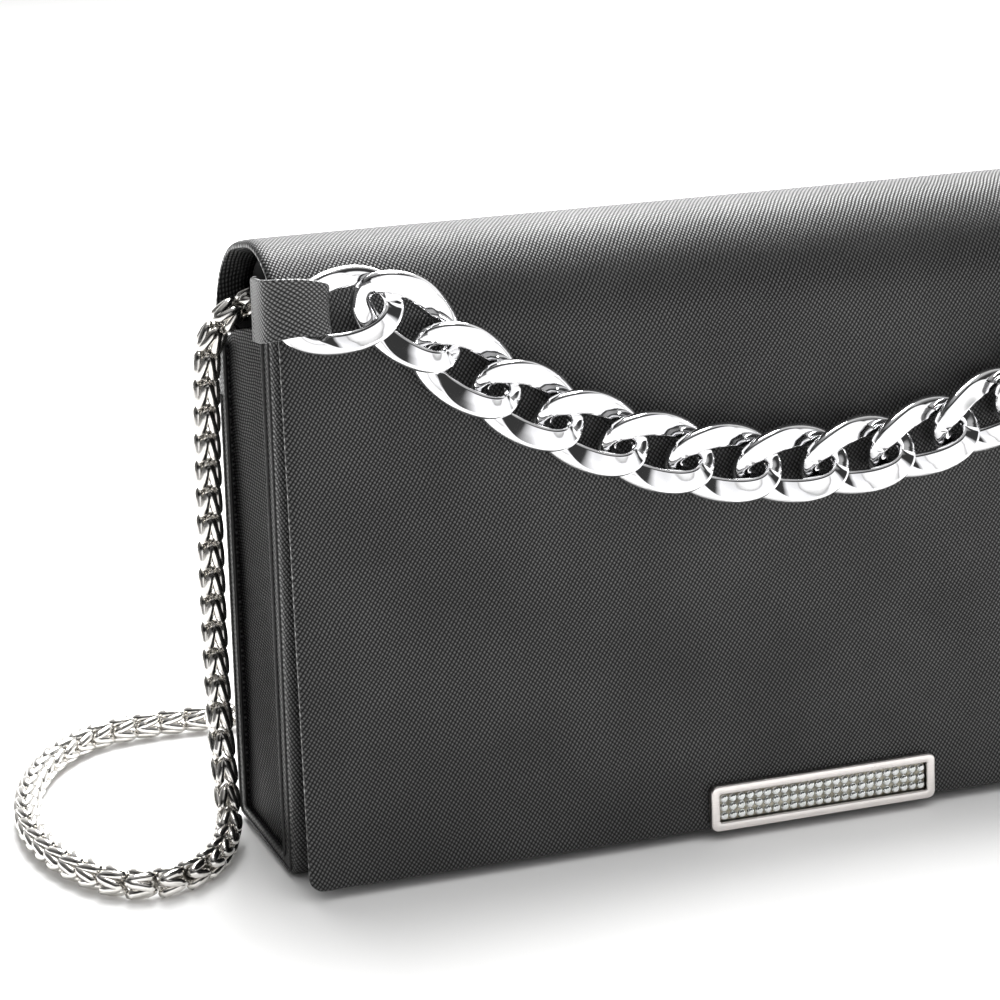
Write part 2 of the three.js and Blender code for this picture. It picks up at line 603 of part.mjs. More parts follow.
function chainCoil() {
  const half = CHAIN_DIAMETER / 2;
  const top = CHAIN_FLOOR + CHAIN_DIAMETER * (COIL_TURNS - 1) + half;
  const profile = [
    [COIL_RADIUS - half, 0.1], [COIL_RADIUS + half, 0.1],
    [COIL_RADIUS + half, top], [COIL_RADIUS - half, top], [COIL_RADIUS - half, 0.1],
  ];
  const geometry = new THREE.LatheGeometry(profile.map(([r, h]) => new THREE.Vector2(r, h)), 32);
  geometry.rotateX(Math.PI / 2);
  return piece('shoulder_chain_coil', geometry, nickel, [COIL_CENTRE[0], COIL_CENTRE[1], 0]);
}

// ---- The whole bag ----

const bag = new THREE.Group();

bag.add(turnedPanel('front_panel', FRONT_TOP, -1));
bag.add(turnedPanel('back_panel', BACK_TOP, 1));
bag.add(basePanel());
bag.add(...wallLayers('front', -1, FRONT_TOP));
bag.add(...wallLayers('back', 1, BACK_TOP));
bag.add(...baseLayers());
bag.add(slipPocket());
bag.add(bodyMagnet());

for (const [side, sign] of [['left', -1], ['right', 1]]) {
  bag.add(gusset(side, sign));
  bag.add(gussetLining(side, sign));
  bag.add(piping(side, sign));
  bag.add(...chainAnchor(side, sign));
  bag.add(tabRoot(side, sign));
}

bag.add(...flapLayers());
const face = faceFrame();
face.add(closurePlate());
face.add(crystalStrip());
face.add(flapMagnet());
face.add(tabLoop('left', -1));
face.add(tabLoop('right', 1));
face.add(...handleLinks());
bag.add(face);

bag.add(chainTube('shoulder_chain_left', [...CHAIN_RISE, ...CHAIN_LEFT_LOOP], 44));
bag.add(chainCoil());
bag.add(chainTube('shoulder_chain_right', [...CHAIN_RIGHT_LOOP, ...mirroredRise()], 28));

export default bag;
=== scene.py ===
"""The looks of a black leather evening bag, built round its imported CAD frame.
The scene is in metres, +Z up, with the bag's front towards -Y."""
import json
import math

import bpy
import numpy as np
from mathutils import Matrix, Vector


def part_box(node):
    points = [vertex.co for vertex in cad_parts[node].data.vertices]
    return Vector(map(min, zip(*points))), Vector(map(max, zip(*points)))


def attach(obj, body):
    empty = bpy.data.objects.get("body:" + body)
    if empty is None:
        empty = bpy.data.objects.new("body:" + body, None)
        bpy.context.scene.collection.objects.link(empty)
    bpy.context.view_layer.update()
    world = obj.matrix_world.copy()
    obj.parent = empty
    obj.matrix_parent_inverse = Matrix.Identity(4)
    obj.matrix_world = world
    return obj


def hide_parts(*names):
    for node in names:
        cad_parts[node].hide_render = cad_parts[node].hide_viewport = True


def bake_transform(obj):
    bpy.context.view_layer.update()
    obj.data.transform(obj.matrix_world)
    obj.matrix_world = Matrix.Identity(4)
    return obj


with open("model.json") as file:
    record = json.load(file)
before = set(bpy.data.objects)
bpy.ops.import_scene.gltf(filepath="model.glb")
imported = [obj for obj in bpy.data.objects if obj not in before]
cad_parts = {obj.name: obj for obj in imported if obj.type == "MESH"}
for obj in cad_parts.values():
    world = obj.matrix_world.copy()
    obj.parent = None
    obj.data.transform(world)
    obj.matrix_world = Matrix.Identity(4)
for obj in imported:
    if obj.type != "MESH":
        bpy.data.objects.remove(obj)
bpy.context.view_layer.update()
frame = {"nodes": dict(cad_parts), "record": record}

MM = 0.001
SIDES = (("left", -1), ("right", 1))
JOINTS = {joint["name"]: joint for joint in frame["record"]["behaviour"]["joints"]}

# Camera, solved from the straight edges of the flap.
CAMERA_PLACE = (-0.3072, -0.6810, 0.2886)
CAMERA_YAW = math.radians(19.56)
CAMERA_PITCH = math.radians(16.32)
CAMERA_ROLL = math.radians(-1.36)
CAMERA_LENS = 116.8

# Grain of the leather: two sets of grooves that cross, this far apart in millimetres.
LATTICE_PITCH = (0.8, 0.8)
LATTICE_TURN = math.radians(33)
LATTICE_CROSSING = math.radians(99)

# Body of the bag, in millimetres.
HALF_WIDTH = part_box("front_panel")[1][0] / MM
HALF_DEPTH = -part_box("front_panel")[0][1] / MM
FRONT_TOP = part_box("front_panel")[1][2] / MM
BACK_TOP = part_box("back_panel")[1][2] / MM
BASE_RADIUS = 8
EDGE_RETURN = 8
BASE_RETURN = 4
SEAM_RADIUS = 1.5
SIDE_TOP = ((-22.7, 129.5), (12, 121), (22.7, 115))     # the side panel's top edge in Y and Z
SKIN = 1.2

# Flap, in millimetres. Its section is a leaning front face and two rolls.
HINGE_Y = JOINTS["flap_hinge"]["pos_m"][1] / MM
HINGE_Z = JOINTS["flap_hinge"]["pos_m"][2] / MM
FLAP_LEAN = math.radians(2.9)
FLAP_STANDOFF = 12.5
FLAP_FOOT = 2.5
ROLL_SLOPE = math.radians(12.6)
ROLL_BACK_RADIUS = 26
ROLL_FRONT_RADIUS = 22
FLAP_THICKNESS = 3.4
FLAP_CORNER = 3.4
HEM_RETURN = 7
FLAP_SPANS = 60              # steps across half of the flap

# Sections of the flap's turned hem, as (distance in from the edge, depth below the outer surface).
HEM_UNDER = [(HEM_RETURN, FLAP_THICKNESS - 0.3), (HEM_RETURN, FLAP_THICKNESS), (4.5, FLAP_THICKNESS - 0.2),
             (2.2, 2.7), (0.9, 2.2), (0.3, 1.9)]
HEM_RIM = [(0.06, 1.7), (0, 1.45), (0, 1.15), (0.06, 0.9)]
HEM_OVER = [(0.25, 0.62), (0.65, 0.38), (1.2, 0.17), (1.9, 0.05), (2.6, 0)]

# Handle, in millimetres.
LINK_COUNT = 14
LINK_PITCH = 16.6
LINK = {"length": 28.6, "width": 18.4, "twist": 2.3, "half_thickness": 1.95, "side_half_width": 2.9}
RING = {"length": 28.6, "width": 18.8, "twist": 1.9, "half_thickness": 1.5, "side_half_width": 2.35}
END_HALF_WIDTH = 2.3
FLAT_RISE = 0.27             # how far a link's ground flat stands over the chord of its edges
FLAT_DISH = 0.08
CATENARY_SIZE = 123
HANDLE_LOW_POINT = 88.3
END_LINK_LIFT = 1.5
HANDLE_OFFSET = 4.7
RING_X = 112.7
RING_HEIGHT = 133.9
RING_TILT = math.radians(-8)

# Shoulder chain, in millimetres.
CHAIN_DIAMETER = 7
CHAIN_FLOOR = CHAIN_DIAMETER / 2 + 0.3
COIL_RADIUS = 35
COIL_TURNS = 2
COIL_CENTRE = (35, 76)
COIL_TOP = CHAIN_FLOOR + CHAIN_DIAMETER * (COIL_TURNS - 1)
WHEAT_PITCH = 6.6
WHEAT_WIRE_RADIUS = 1.12
WHEAT_PEAK = 2.5             # how far each corner of a link stands along the chain
WHEAT_DIP = 0.55             # how far each corner lies inside the chain's surface

# Closure plate, in millimetres.
PLATE_WIDTH = 57.5
PLATE_HEIGHT = 11
PLATE_DEPTH = 1.6
PLATE_BORDER = 2.1
CRYSTAL_ROWS = 3
CRYSTAL_COLUMNS = 24
CRYSTAL_PITCH = 2.2
CRYSTAL_ROW_PITCH = 2.1
CRYSTAL_RADIUS = 1.03

# Right-hand leather tab: (x, y, z, half width, curl of its edges) along the strap, in millimetres.
# The loop stands in the frame of the flap's face, the sewn end in the bag's.
TAB_LOOP = [
    (HALF_WIDTH - 0.5, -0.95, 134.6, 4.4, 0), (121.5, -0.95, 134.5, 4.1, 0), (118.5, -1.3, 134.4, 3.9, 0),
    (116.4, -3.0, 134.4, 3.9, 0), (115.9, -5.5, 134.8, 4.6, 0.2), (116.9, -7.8, 135.3, 5.5, 0.5),
    (119.0, -8.9, 135.8, 5.9, 0.6), (122.0, -9.2, 136.3, 6.1, 0.6), (125.0, -8.6, 136.3, 6.3, 0.5),
    (127.4, -7.2, 135.9, 6.6, 0.3), (128.9, -4.8, 135.4, 6.8, 0.2), (129.2, -1.5, 134.9, 6.9, 0.1),
    (129.0, 2.0, 134.5, 7.0, 0), (128.7, 5.2, 134.1, 7.0, 0),
]
TAB_SEWN_END = [
    (128.65, -25.6, 134.2, 7.0, 0), (128.6, -23.8, 133.6, 7.0, 0), (127.8, -20.6, 132.5, 6.8, 0),
    (126.6, -17.2, 131.4, 6.6, 0), (HALF_WIDTH + 0.6, -14.8, 130.6, 6.4, 0),
    (HALF_WIDTH + 0.2, -13.6, 130.2, 6.3, 0),
]


# ---- Camera ----

def make_camera():
    forward = Vector((math.sin(CAMERA_YAW) * math.cos(CAMERA_PITCH),
                      math.cos(CAMERA_YAW) * math.cos(CAMERA_PITCH),
                      -math.sin(CAMERA_PITCH)))
    level = Vector((math.cos(CAMERA_YAW), -math.sin(CAMERA_YAW), 0))
    upright = level.cross(forward)
    right = math.cos(CAMERA_ROLL) * level + math.sin(CAMERA_ROLL) * upright
    up = math.cos(CAMERA_ROLL) * upright - math.sin(CAMERA_ROLL) * level
    data = bpy.data.cameras.new("camera")
    data.lens = CAMERA_LENS
    data.sensor_width = 36
    data.clip_start = 0.01
    camera = bpy.data.objects.new("camera", data)
    bpy.context.scene.collection.objects.link(camera)
    turn = Matrix((right, up, -forward)).transposed().to_4x4()
    camera.matrix_world = Matrix.Translation(CAMERA_PLACE) @ turn
    bpy.context.scene.camera = camera


# ---- Materials ----

class Nodes:
    """Short ways to add nodes to a node tree."""

    def __init__(self, tree):
        self.nodes = tree.nodes
        self.links = tree.links

    def node(self, kind, inputs=None, **settings):
        made = self.nodes.new(kind)
        for key, value in settings.items():
            setattr(made, key, value)
        for key, value in (inputs or {}).items():
            if hasattr(value, "is_output"):
                self.links.new(value, made.inputs[key])
            else:
                made.inputs[key].default_value = value
        return made

    def math(self, operation, first, second=0.0, third=0.0):
        return self.node("ShaderNodeMath", {0: first, 1: second, 2: third}, operation=operation).outputs[0]

    def coordinates(self, kind="UV", scale=(1, 1, 1), turn=0.0):
        source = self.node("ShaderNodeTexCoord").outputs[kind]
        inputs = {"Vector": source, "Scale": scale, "Rotation": (0, 0, turn)}
        return self.node("ShaderNodeMapping", inputs).outputs["Vector"]

    def noise(self, scale, detail=3, kind="Object", stretch=(1, 1, 1)):
        inputs = {"Vector": self.coordinates(kind, stretch), "Scale": scale, "Detail": detail}
        return self.node("ShaderNodeTexNoise", inputs).outputs["Fac"]

    def ramp(self, factor, *stops):
        """stops are (place, colour), the colour as three numbers, or as one for a grey."""
        made = self.node("ShaderNodeValToRGB", {"Fac": factor})
        elements = made.color_ramp.elements
        while len(elements) < len(stops):
            elements.new(0.5)
        for element, (place, colour) in zip(elements, stops):
            element.position = place
            element.color = (*colour, 1) if isinstance(colour, tuple) else (colour, colour, colour, 1)
        return made.outputs["Color"]

    def scaled(self, factor, low, high, source=(0.0, 1.0)):
        inputs = {"Value": factor, "To Min": low, "To Max": high}
        inputs.update({"From Min": source[0], "From Max": source[1]})
        return self.node("ShaderNodeMapRange", inputs).outputs["Result"]

    def bump(self, height, distance, strength=1.0, normal=None):
        inputs = {"Height": height, "Distance": distance, "Strength": strength}
        if normal is not None:
            inputs["Normal"] = normal
        return self.node("ShaderNodeBump", inputs).outputs["Normal"]


class Shader(Nodes):
    """A new material built on one Principled surface."""

    def __init__(self, name, **settings):
        self.material = bpy.data.materials.new(name)
        self.material.use_nodes = True
        super().__init__(self.material.node_tree)
        self.surface = self.nodes["Principled BSDF"]
        for key, value in settings.items():
            self.surface.inputs[key.replace("_", " ")].default_value = value

    def set(self, **sockets):
        for key, value in sockets.items():
            self.links.new(value, self.surface.inputs[key.replace("_", " ")])


def pressed_lattice(shader, pitch, turn):
    """Height, 0 to 1, of ridges parted by narrow grooves, beaded by a second set of grooves."""
    ridges = []
    wander = shader.math("MULTIPLY", shader.noise(70, 2, "UV"), 1.6)
    for angle in (turn, turn + LATTICE_CROSSING):
        where = shader.coordinates("UV", (1 / (pitch[0] * MM), 1 / (pitch[1] * MM), 1), angle)
        across = shader.node("ShaderNodeSeparateXYZ", {"Vector": where}).outputs["X"]
        wave = shader.math("SINE", shader.math("MULTIPLY", shader.math("ADD", across, wander), math.pi))
        ridges.append(shader.math("POWER", shader.math("ABSOLUTE", wave), 0.9))
    return shader.math("MULTIPLY", ridges[0], shader.scaled(ridges[1], 0.25, 1.0))


def leather_material(name, pitch=LATTICE_PITCH, turn=LATTICE_TURN, depth=0.13, shine=1.0, light=1.0):
    """Black grained leather, depth in millimetres. shine scales the ridges' gloss, light their colour. The
    colour follows the grain's height, near black in the grooves as painted shade and lighter on the ridge
    tops as a painted sheen; light below 1 gives a copy with painted shade, above 1 a copy with a painted
    highlight.
    """
    shader = Shader(name, IOR=1.5)
    grain = pressed_lattice(shader, pitch, turn)
    patches = shader.noise(28, 4)
    tone = shader.math("MULTIPLY", grain, shader.scaled(patches, 0.75, 1.25))
    # painted light: the ramp darkens the grooves as painted shade and lightens the ridge tops as a painted
    # sheen
    colour = shader.ramp(tone, (0.1, (0.003, 0.003, 0.0031)), (0.6, 0.015 * light), (1.0, 0.080 * light))
    creases = shader.bump(patches, 0.5 * MM, 0.25)
    shader.set(Base_Color=colour, Roughness=shader.scaled(tone, 0.48, 0.30),
               Specular_IOR_Level=shader.scaled(tone, 0.08 * shine, 0.65 * shine),
               Normal=shader.bump(grain, depth * MM, 1.0, creases))
    return shader.material


def chrome_material():
    shader = Shader("polished_chrome", Metallic=1.0)
    smudges = shader.noise(60, 4)
    colour = shader.ramp(smudges, (0.3, (0.88, 0.88, 0.89)), (0.7, (0.95, 0.95, 0.955)))
    shader.set(Base_Color=colour, Roughness=shader.scaled(smudges, 0.03, 0.10),
               Normal=shader.bump(shader.noise(220, 2), 0.03 * MM, 0.25))
    return shader.material


def nickel_material():
    shader = Shader("pale_nickel", Metallic=1.0)
    wear = shader.noise(400, 3)
    colour = shader.ramp(wear, (0.3, (0.72, 0.70, 0.66)), (0.7, (0.88, 0.86, 0.83)))
    shader.set(Base_Color=colour, Roughness=shader.scaled(wear, 0.10, 0.22))
    return shader.material


def closure_material():
    shader = Shader("closure_metal", Metallic=1.0)
    brushed = shader.noise(6, 3, stretch=(60, 900, 900))
    colour = shader.ramp(brushed, (0.3, (0.82, 0.775, 0.745)), (0.7, (0.90, 0.86, 0.835)))
    shader.set(Base_Color=colour, Roughness=shader.scaled(brushed, 0.24, 0.36),
               Normal=shader.bump(brushed, 0.02 * MM, 0.4))
    return shader.material


def crystal_material():
    shader = Shader("crystal", Metallic=0.9, Coat_Weight=1.0, Coat_Roughness=0.02)
    cells = shader.node("ShaderNodeTexVoronoi", {"Vector": shader.coordinates("Object"), "Scale": 900.0})
    # painted sparkle: Voronoi cells make some stones whiter and some greyer, standing in for the glints of
    # cut stones
    sparkle_tint = shader.ramp(cells.outputs["Distance"], (0.0, (0.97, 0.98, 1.0)), (0.6, (0.80, 0.82, 0.80)))
    shader.set(Base_Color=sparkle_tint, Roughness=shader.scaled(cells.outputs["Distance"], 0.02, 0.12))
    return shader.material


def bed_material():
    shader = Shader("crystal_bed", Metallic=1.0)
    mottle = shader.noise(900, 3)
    # painted shade: the bed's dark olive colour stands in for the shadow between and under the stones
    colour = shader.ramp(mottle, (0.3, (0.16, 0.15, 0.11)), (0.7, (0.42, 0.40, 0.33)))
    shader.set(Base_Color=colour, Roughness=shader.scaled(mottle, 0.25, 0.45))
    return shader.material


def fabric_material(name, dark, light, thread=0.45 * MM):
    shader = Shader(name, Sheen_Weight=0.15, Sheen_Roughness=0.5)
    weave = []
    for axis in (0.0, math.pi / 2):
        where = shader.coordinates("UV", (1 / thread, 1 / thread, 1), axis)
        split = shader.node("ShaderNodeSeparateXYZ", {"Vector": where}).outputs["X"]
        weave.append(shader.math("SINE", shader.math("MULTIPLY", split, 2 * math.pi)))
    height = shader.scaled(shader.math("MULTIPLY", weave[0], weave[1]), 0.35, 0.75)
    mottle = shader.noise(90, 3)
    tone = shader.math("ADD", shader.math("MULTIPLY", height, 0.7), shader.math("MULTIPLY", mottle, 0.3))
    shader.set(Base_Color=shader.ramp(tone, (0.25, dark), (0.75, light)),
               Roughness=shader.scaled(mottle, 0.75, 0.95), Normal=shader.bump(height, 0.08 * MM, 0.8))
    return shader.material


def board_material():
    shader = Shader("stiffener_board")
    fibres = shader.noise(5, 5, stretch=(300, 300, 40))
    shader.set(Base_Color=shader.ramp(fibres, (0.3, (0.30, 0.26, 0.21)), (0.7, (0.48, 0.43, 0.36))),
               Roughness=shader.scaled(fibres, 0.8, 0.95), Normal=shader.bump(fibres, 0.1 * MM, 0.5))
    return shader.material


def floor_material():
    shader = Shader("studio_floor", Specular_IOR_Level=0.25)
    paper = shader.noise(3, 3)
    shader.set(Base_Color=shader.ramp(paper, (0.3, (0.86, 0.858, 0.852)), (0.7, (0.88, 0.878, 0.874))),
               Roughness=shader.scaled(paper, 0.55, 0.65))
    return shader.material


# ---- Mesh helpers ----

def add_piece(name, mesh, material, body, nodes=(), smooth=True):
    """Puts a mesh into the scene as a piece of the bag that stands for CAD nodes.
    A piece that bends between two bodies has body None."""
    if material is not None:
        mesh.materials.append(material)
    mesh.polygons.foreach_set("use_smooth", [smooth] * len(mesh.polygons))
    made = bpy.data.objects.new(name, mesh)
    bpy.context.scene.collection.objects.link(made)
    if body is not None:
        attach(made, body)
    if nodes:
        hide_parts(*nodes)
    return made


def box_mm(node):
    """The lowest and highest corners of a CAD node, in millimetres."""
    return [np.array(corner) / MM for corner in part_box(node)]


def lengths_along(points):
    steps = np.linalg.norm(np.diff(points, axis=0), axis=1)
    return np.concatenate([[0], np.cumsum(steps)])


def grid_faces(count, width, around, along, start=0):
    """Quads over count rows of width points. around closes each row, along the last row on the first."""
    faces = []
    for i in range(count if along else count - 1):
        for j in range(width if around else width - 1):
            k, m = (i + 1) % count, (j + 1) % width
            corners = (i * width + j, i * width + m, k * width + m, k * width + j)
            faces.append(tuple(start + corner for corner in corners))
    return faces


def grid_mesh(name, rows, around=False, along=False):
    """A mesh of quads over rows of points in millimetres, with UVs in metres of real length."""
    rows = np.asarray(rows, dtype=float)
    count, width = rows.shape[:2]
    u = lengths_along(np.vstack([rows[count // 2], rows[count // 2][:1]]))
    v = lengths_along(np.vstack([rows[:, width // 2], rows[:1, width // 2]]))
    uvs = []
    for i in range(count if along else count - 1):
        for j in range(width if around else width - 1):
            uvs += [(u[j], v[i]), (u[j + 1], v[i]), (u[j + 1], v[i + 1]), (u[j], v[i + 1])]
    mesh = bpy.data.meshes.new(name)
    faces = grid_faces(count, width, around, along)
    mesh.from_pydata([tuple(p) for p in rows.reshape(-1, 3) * MM], [], faces)
    layer = mesh.uv_layers.new(name="UVMap")
    layer.data.foreach_set("uv", (np.array(uvs) * MM).ravel())
    mesh.validate()
    return mesh


def thicken(piece, thickness, edge, offset=0.0):
    """Gives a sheet its thickness in millimetres, with rounded rims."""
    solid = piece.modifiers.new("thickness", "SOLIDIFY")
    solid.thickness = thickness * MM
    solid.offset = offset
    solid.use_even_offset = False
    round_edges(piece, edge)


def round_edges(piece, width, segments=3):
    bevel = piece.modifiers.new("rounded_edges", "BEVEL")
    bevel.width = width * MM
    bevel.segments = segments
    bevel.limit_method = "ANGLE"
    bevel.angle_limit = math.radians(40)
    bevel.harden_normals = True


def arc(centre, radius, start, end, steps):
    angles = np.linspace(start, end, steps + 1)
    return [(centre[0] + radius * math.cos(a), centre[1] + radius * math.sin(a)) for a in angles]


def between(first, second, start, stop, t):
    """The point at t on the straight line that is at first at start, and at second at stop."""
    return (stop - t) / (stop - start) * first + (t - start) / (stop - start) * second


def smooth_path(points, step):
    """A Catmull-Rom curve through the points, at equal steps of about the given length."""
    points = np.asarray(points, dtype=float)
    padded = np.vstack([2 * points[0] - points[1], points, 2 * points[-1] - points[-2]])
    knots = np.concatenate([[0], np.cumsum(np.linalg.norm(np.diff(padded, axis=0), axis=1) ** 0.5)])
    dense = []
    for i in range(1, len(padded) - 2):
        p0, p1, p2, p3 = padded[i - 1:i + 3]
        t0, t1, t2, t3 = knots[i - 1:i + 3]
        for t in np.linspace(t1, t2, 12, endpoint=False):
            a1 = between(p0, p1, t0, t1, t)
            a2 = between(p1, p2, t1, t2, t)
            a3 = between(p2, p3, t2, t3, t)
            b1 = between(a1, a2, t0, t2, t)
            b2 = between(a2, a3, t1, t3, t)
            dense.append(between(b1, b2, t1, t2, t))
    dense.append(points[-1])
    dense = np.array(dense)
    place = lengths_along(dense)
    wanted = np.linspace(0, place[-1], max(2, round(place[-1] / step)) + 1)
    return np.column_stack([np.interp(wanted, place, dense[:, k]) for k in range(3)])


def travelling_frames(path):
    """For each point of a path, two directions across it that turn as little as they can."""
    tangents = np.gradient(path, axis=0)
    tangents /= np.linalg.norm(tangents, axis=1)[:, None]
    across = np.cross(tangents[0], (0, 0, 1.0) if abs(tangents[0][2]) < 0.9 else (1.0, 0, 0))
    frames = []
    for tangent in tangents:
        across = across - tangent * np.dot(across, tangent)
        across /= np.linalg.norm(across)
        frames.append((tangent, across, np.cross(tangent, across)))
    return frames


def tube_rows(path, radius, sides=10, ripple=0.0, ripple_pitch=2.0):
    """Rings of points round a path. ripple swells and thins the tube, as a covered cord is."""
    rows = []
    place = lengths_along(path)
    for point, at, (_, across, up) in zip(path, place, travelling_frames(path)):
        r = radius * (1 + ripple * math.sin(2 * math.pi * at / ripple_pitch))
        angles = [2 * math.pi * k / sides for k in range(sides)]
        rows.append([point + r * (math.cos(a) * across + math.sin(a) * up) for a in angles])
    return rows


def face_frame():
    """From the frame that leans with the flap's front face to the bag's."""
    foot = Matrix.Translation((0, -(HALF_DEPTH + FLAP_STANDOFF) * MM, 0))
    return foot @ Matrix.Rotation(-FLAP_LEAN, 4, "X")


# ---- Shoulder chain ----

CHAIN_RISE = [
    (-119.8, 8, 128.3), (-121.7, 8.1, 127.7), (-124, 8.2, 126.6), (-126.9, 8.5, 124.4),
    (-129.1, 9, 121.5), (-130.5, 9.5, 118.1), (-131, 10.2, 114), (-131.1, 11.8, 104),
    (-131.1, 13.4, 90), (-131, 15, 70), (-131, 15.8, 48), (-131, 14.8, 28),
]
CHAIN_LEFT_LOOP = [
    (-131.2, 11.5, 13), (-132.4, 5, 5.4), (-136.4, -4.4, CHAIN_FLOOR), (-143, -14, CHAIN_FLOOR),
    (-152, -19.4, CHAIN_FLOOR), (-161, -18, CHAIN_FLOOR), (-168.5, -8.6, CHAIN_FLOOR),
    (-174, 8, CHAIN_FLOOR), (-174.8, 29, CHAIN_FLOOR), (-169, 51, CHAIN_FLOOR),
    (-159.5, 68, CHAIN_FLOOR), (-147, 78.6, CHAIN_FLOOR), (-133, 81.6, CHAIN_FLOOR),
    (-115, 80.6, CHAIN_FLOOR), (-92, 74, CHAIN_FLOOR), (-66, 61, CHAIN_FLOOR),
    (-40, 49, CHAIN_FLOOR), (-16, 43, CHAIN_FLOOR), (8, 41.1, CHAIN_FLOOR),
]
CHAIN_RIGHT_LOOP = [
    (62, 41.1, COIL_TOP), (76, 42, 7.6), (92, 44.6, CHAIN_FLOOR), (110, 47, CHAIN_FLOOR),
    (128, 44, CHAIN_FLOOR), (139.4, 33, 4.9), (137.6, 22, 9.8),
]


def coil_points():
    """Two turns lying one on the other, climbing at the end of the first."""
    points = []
    steps = 16
    for k in range(COIL_TURNS * steps + 1):
        angle = -math.pi / 2 + 2 * math.pi * k / steps
        climb = min(1, max(0, (k - steps * 0.72) / (steps * 0.5)))
        climb = climb * climb * (3 - 2 * climb)
        x = COIL_CENTRE[0] + COIL_RADIUS * math.cos(angle)
        y = COIL_CENTRE[1] + COIL_RADIUS * math.sin(angle)
        points.append((x, y, CHAIN_FLOOR + CHAIN_DIAMETER * climb))
    return points


def ring_rows(path, radius, middle, sides=10):
    """Rings of points round a closed path that goes round a middle point."""
    rows = []
    for k in range(len(path)):
        along = path[(k + 1) % len(path)] - path[k - 1]
        along /= np.linalg.norm(along)
        outward = path[k] - middle
        outward = outward - along * np.dot(outward, along)
        outward /= np.linalg.norm(outward)
        sideways = np.cross(along, outward)
        angles = [2 * math.pi * j / sides for j in range(sides)]
        rows.append([path[k] + radius * (math.cos(a) * outward + math.sin(a) * sideways) for a in angles])
    return rows


def wheat_link(point, tangent, across, up, steps=40):
    """One link of a wheat chain: a ring of wire that peaks at four corners and dips on four faces."""
    path = []
    for k in range(steps):
        angle = 2 * math.pi * k / steps
        wave = math.cos(4 * angle)
        radius = CHAIN_DIAMETER / 2 - WHEAT_WIRE_RADIUS - WHEAT_DIP * (0.5 + 0.5 * wave) ** 2
        out = radius * (math.cos(angle) * across + math.sin(angle) * up)
        path.append(point + out - WHEAT_PEAK * wave * tangent)
    return ring_rows(np.array(path), WHEAT_WIRE_RADIUS, point, sides=8)


def join_grids(name, grids, around=True, along=True):
    """One mesh from many grids of the same size."""
    verts, faces, start = [], [], 0
    for rows in grids:
        rows = np.asarray(rows)
        count, width = rows.shape[:2]
        verts.append(rows.reshape(-1, 3))
        faces += grid_faces(count, width, around, along, start)
        start += count * width
    mesh = bpy.data.meshes.new(name)
    mesh.from_pydata([tuple(p) for p in np.vstack(verts) * MM], [], faces)
    mesh.validate()
    return mesh


def make_shoulder_chain(nickel):
    right_rise = [(-x, y, z) for x, y, z in reversed(CHAIN_RISE)]
    route = CHAIN_RISE + CHAIN_LEFT_LOOP + coil_points() + CHAIN_RIGHT_LOOP + right_rise
    path = smooth_path(route, WHEAT_PITCH)
    links = [wheat_link(point, *frame_there) for point, frame_there in zip(path, travelling_frames(path))]
    chain = add_piece("shoulder_chain", join_grids("shoulder_chain", links), nickel, "bag",
                      ["shoulder_chain_left", "shoulder_chain_coil", "shoulder_chain_right"])
    end_links = [make_end_link(side, nickel) for side, _ in SIDES]


def make_end_link(side, nickel):
    low, high = box_mm(f"chain_end_link_{side}")
    centre = (low + high) / 2
    wire = (high[1] - low[1]) / 2
    round_line = arc((centre[0], centre[2]), (high[0] - low[0]) / 2 - wire, 0, 2 * math.pi, 40)[:-1]
    path = np.array([(x, centre[1], z) for x, z in round_line])
    mesh = join_grids("end_link", [ring_rows(path, wire, centre)])
    return add_piece(f"end_link_{side}", mesh, nickel, "bag", [f"chain_end_link_{side}"])


# ---- Body ----

def wall_outline(y, foot, r):
    """A section in Y and Z from the front's top edge, round the base, to the back's top edge."""
    front = [(-y, z) for z in np.linspace(FRONT_TOP, foot + r, 50)[:-1]]
    corner = arc((-y + r, foot + r), r, math.pi, 1.5 * math.pi, 10)
    base = [(x, foot) for x in np.linspace(-y + r, y - r, 14)[1:-1]]
    far_corner = arc((y - r, foot + r), r, 1.5 * math.pi, 2 * math.pi, 10)
    back = [(y, z) for z in np.linspace(foot + r, BACK_TOP, 46)[1:]]
    return np.array(front + corner + base + far_corner + back)


def seam_outline(inset=0.0):
    """The line where the turned edges meet the side panel."""
    return wall_outline(HALF_DEPTH - EDGE_RETURN - inset, BASE_RETURN + 0.5 * inset, SEAM_RADIUS)


def left_normals(outline):
    """Unit normals on the left of a line in Y and Z."""
    tangents = np.gradient(outline, axis=0)
    tangents /= np.linalg.norm(tangents, axis=1)[:, None]
    return np.column_stack([-tangents[:, 1], tangents[:, 0]])


def make_body(leather):
    """Front, base and back as one sheet, its side edges turned in to the seams with the side panels."""
    outline = wall_outline(HALF_DEPTH, 0, BASE_RADIUS)
    seam = seam_outline()
    inward = left_normals(outline)
    turned = [1.0, 0.8, 0.6, 0.45]                  # places from the seam at 1 out towards the edge at 0
    rounding = [(0.05, 1.5), (0.35, 0.8), (0.9, 0.3), (1.7, 0.05), (2.6, 0)]      # (in from the side, depth)
    across = np.linspace(-HALF_WIDTH + 4, HALF_WIDTH - 4, 60)
    rows = []
    for outer, inner, normal in zip(outline, seam, inward):
        left = [(-HALF_WIDTH, *(outer + (inner - outer) * t)) for t in turned]
        left += [(-HALF_WIDTH + shift, *(outer + normal * depth)) for shift, depth in rounding]
        middle = [(x, *outer) for x in across]
        right = [(-x, y, z) for x, y, z in reversed(left)]
        rows.append(left + middle + right)
    body = add_piece("body_leather", grid_mesh("body_leather", rows), leather, "bag",
                     ["front_panel", "back_panel", "base_panel"])
    thicken(body, SKIN, 0.45, offset=inward_offset(body))


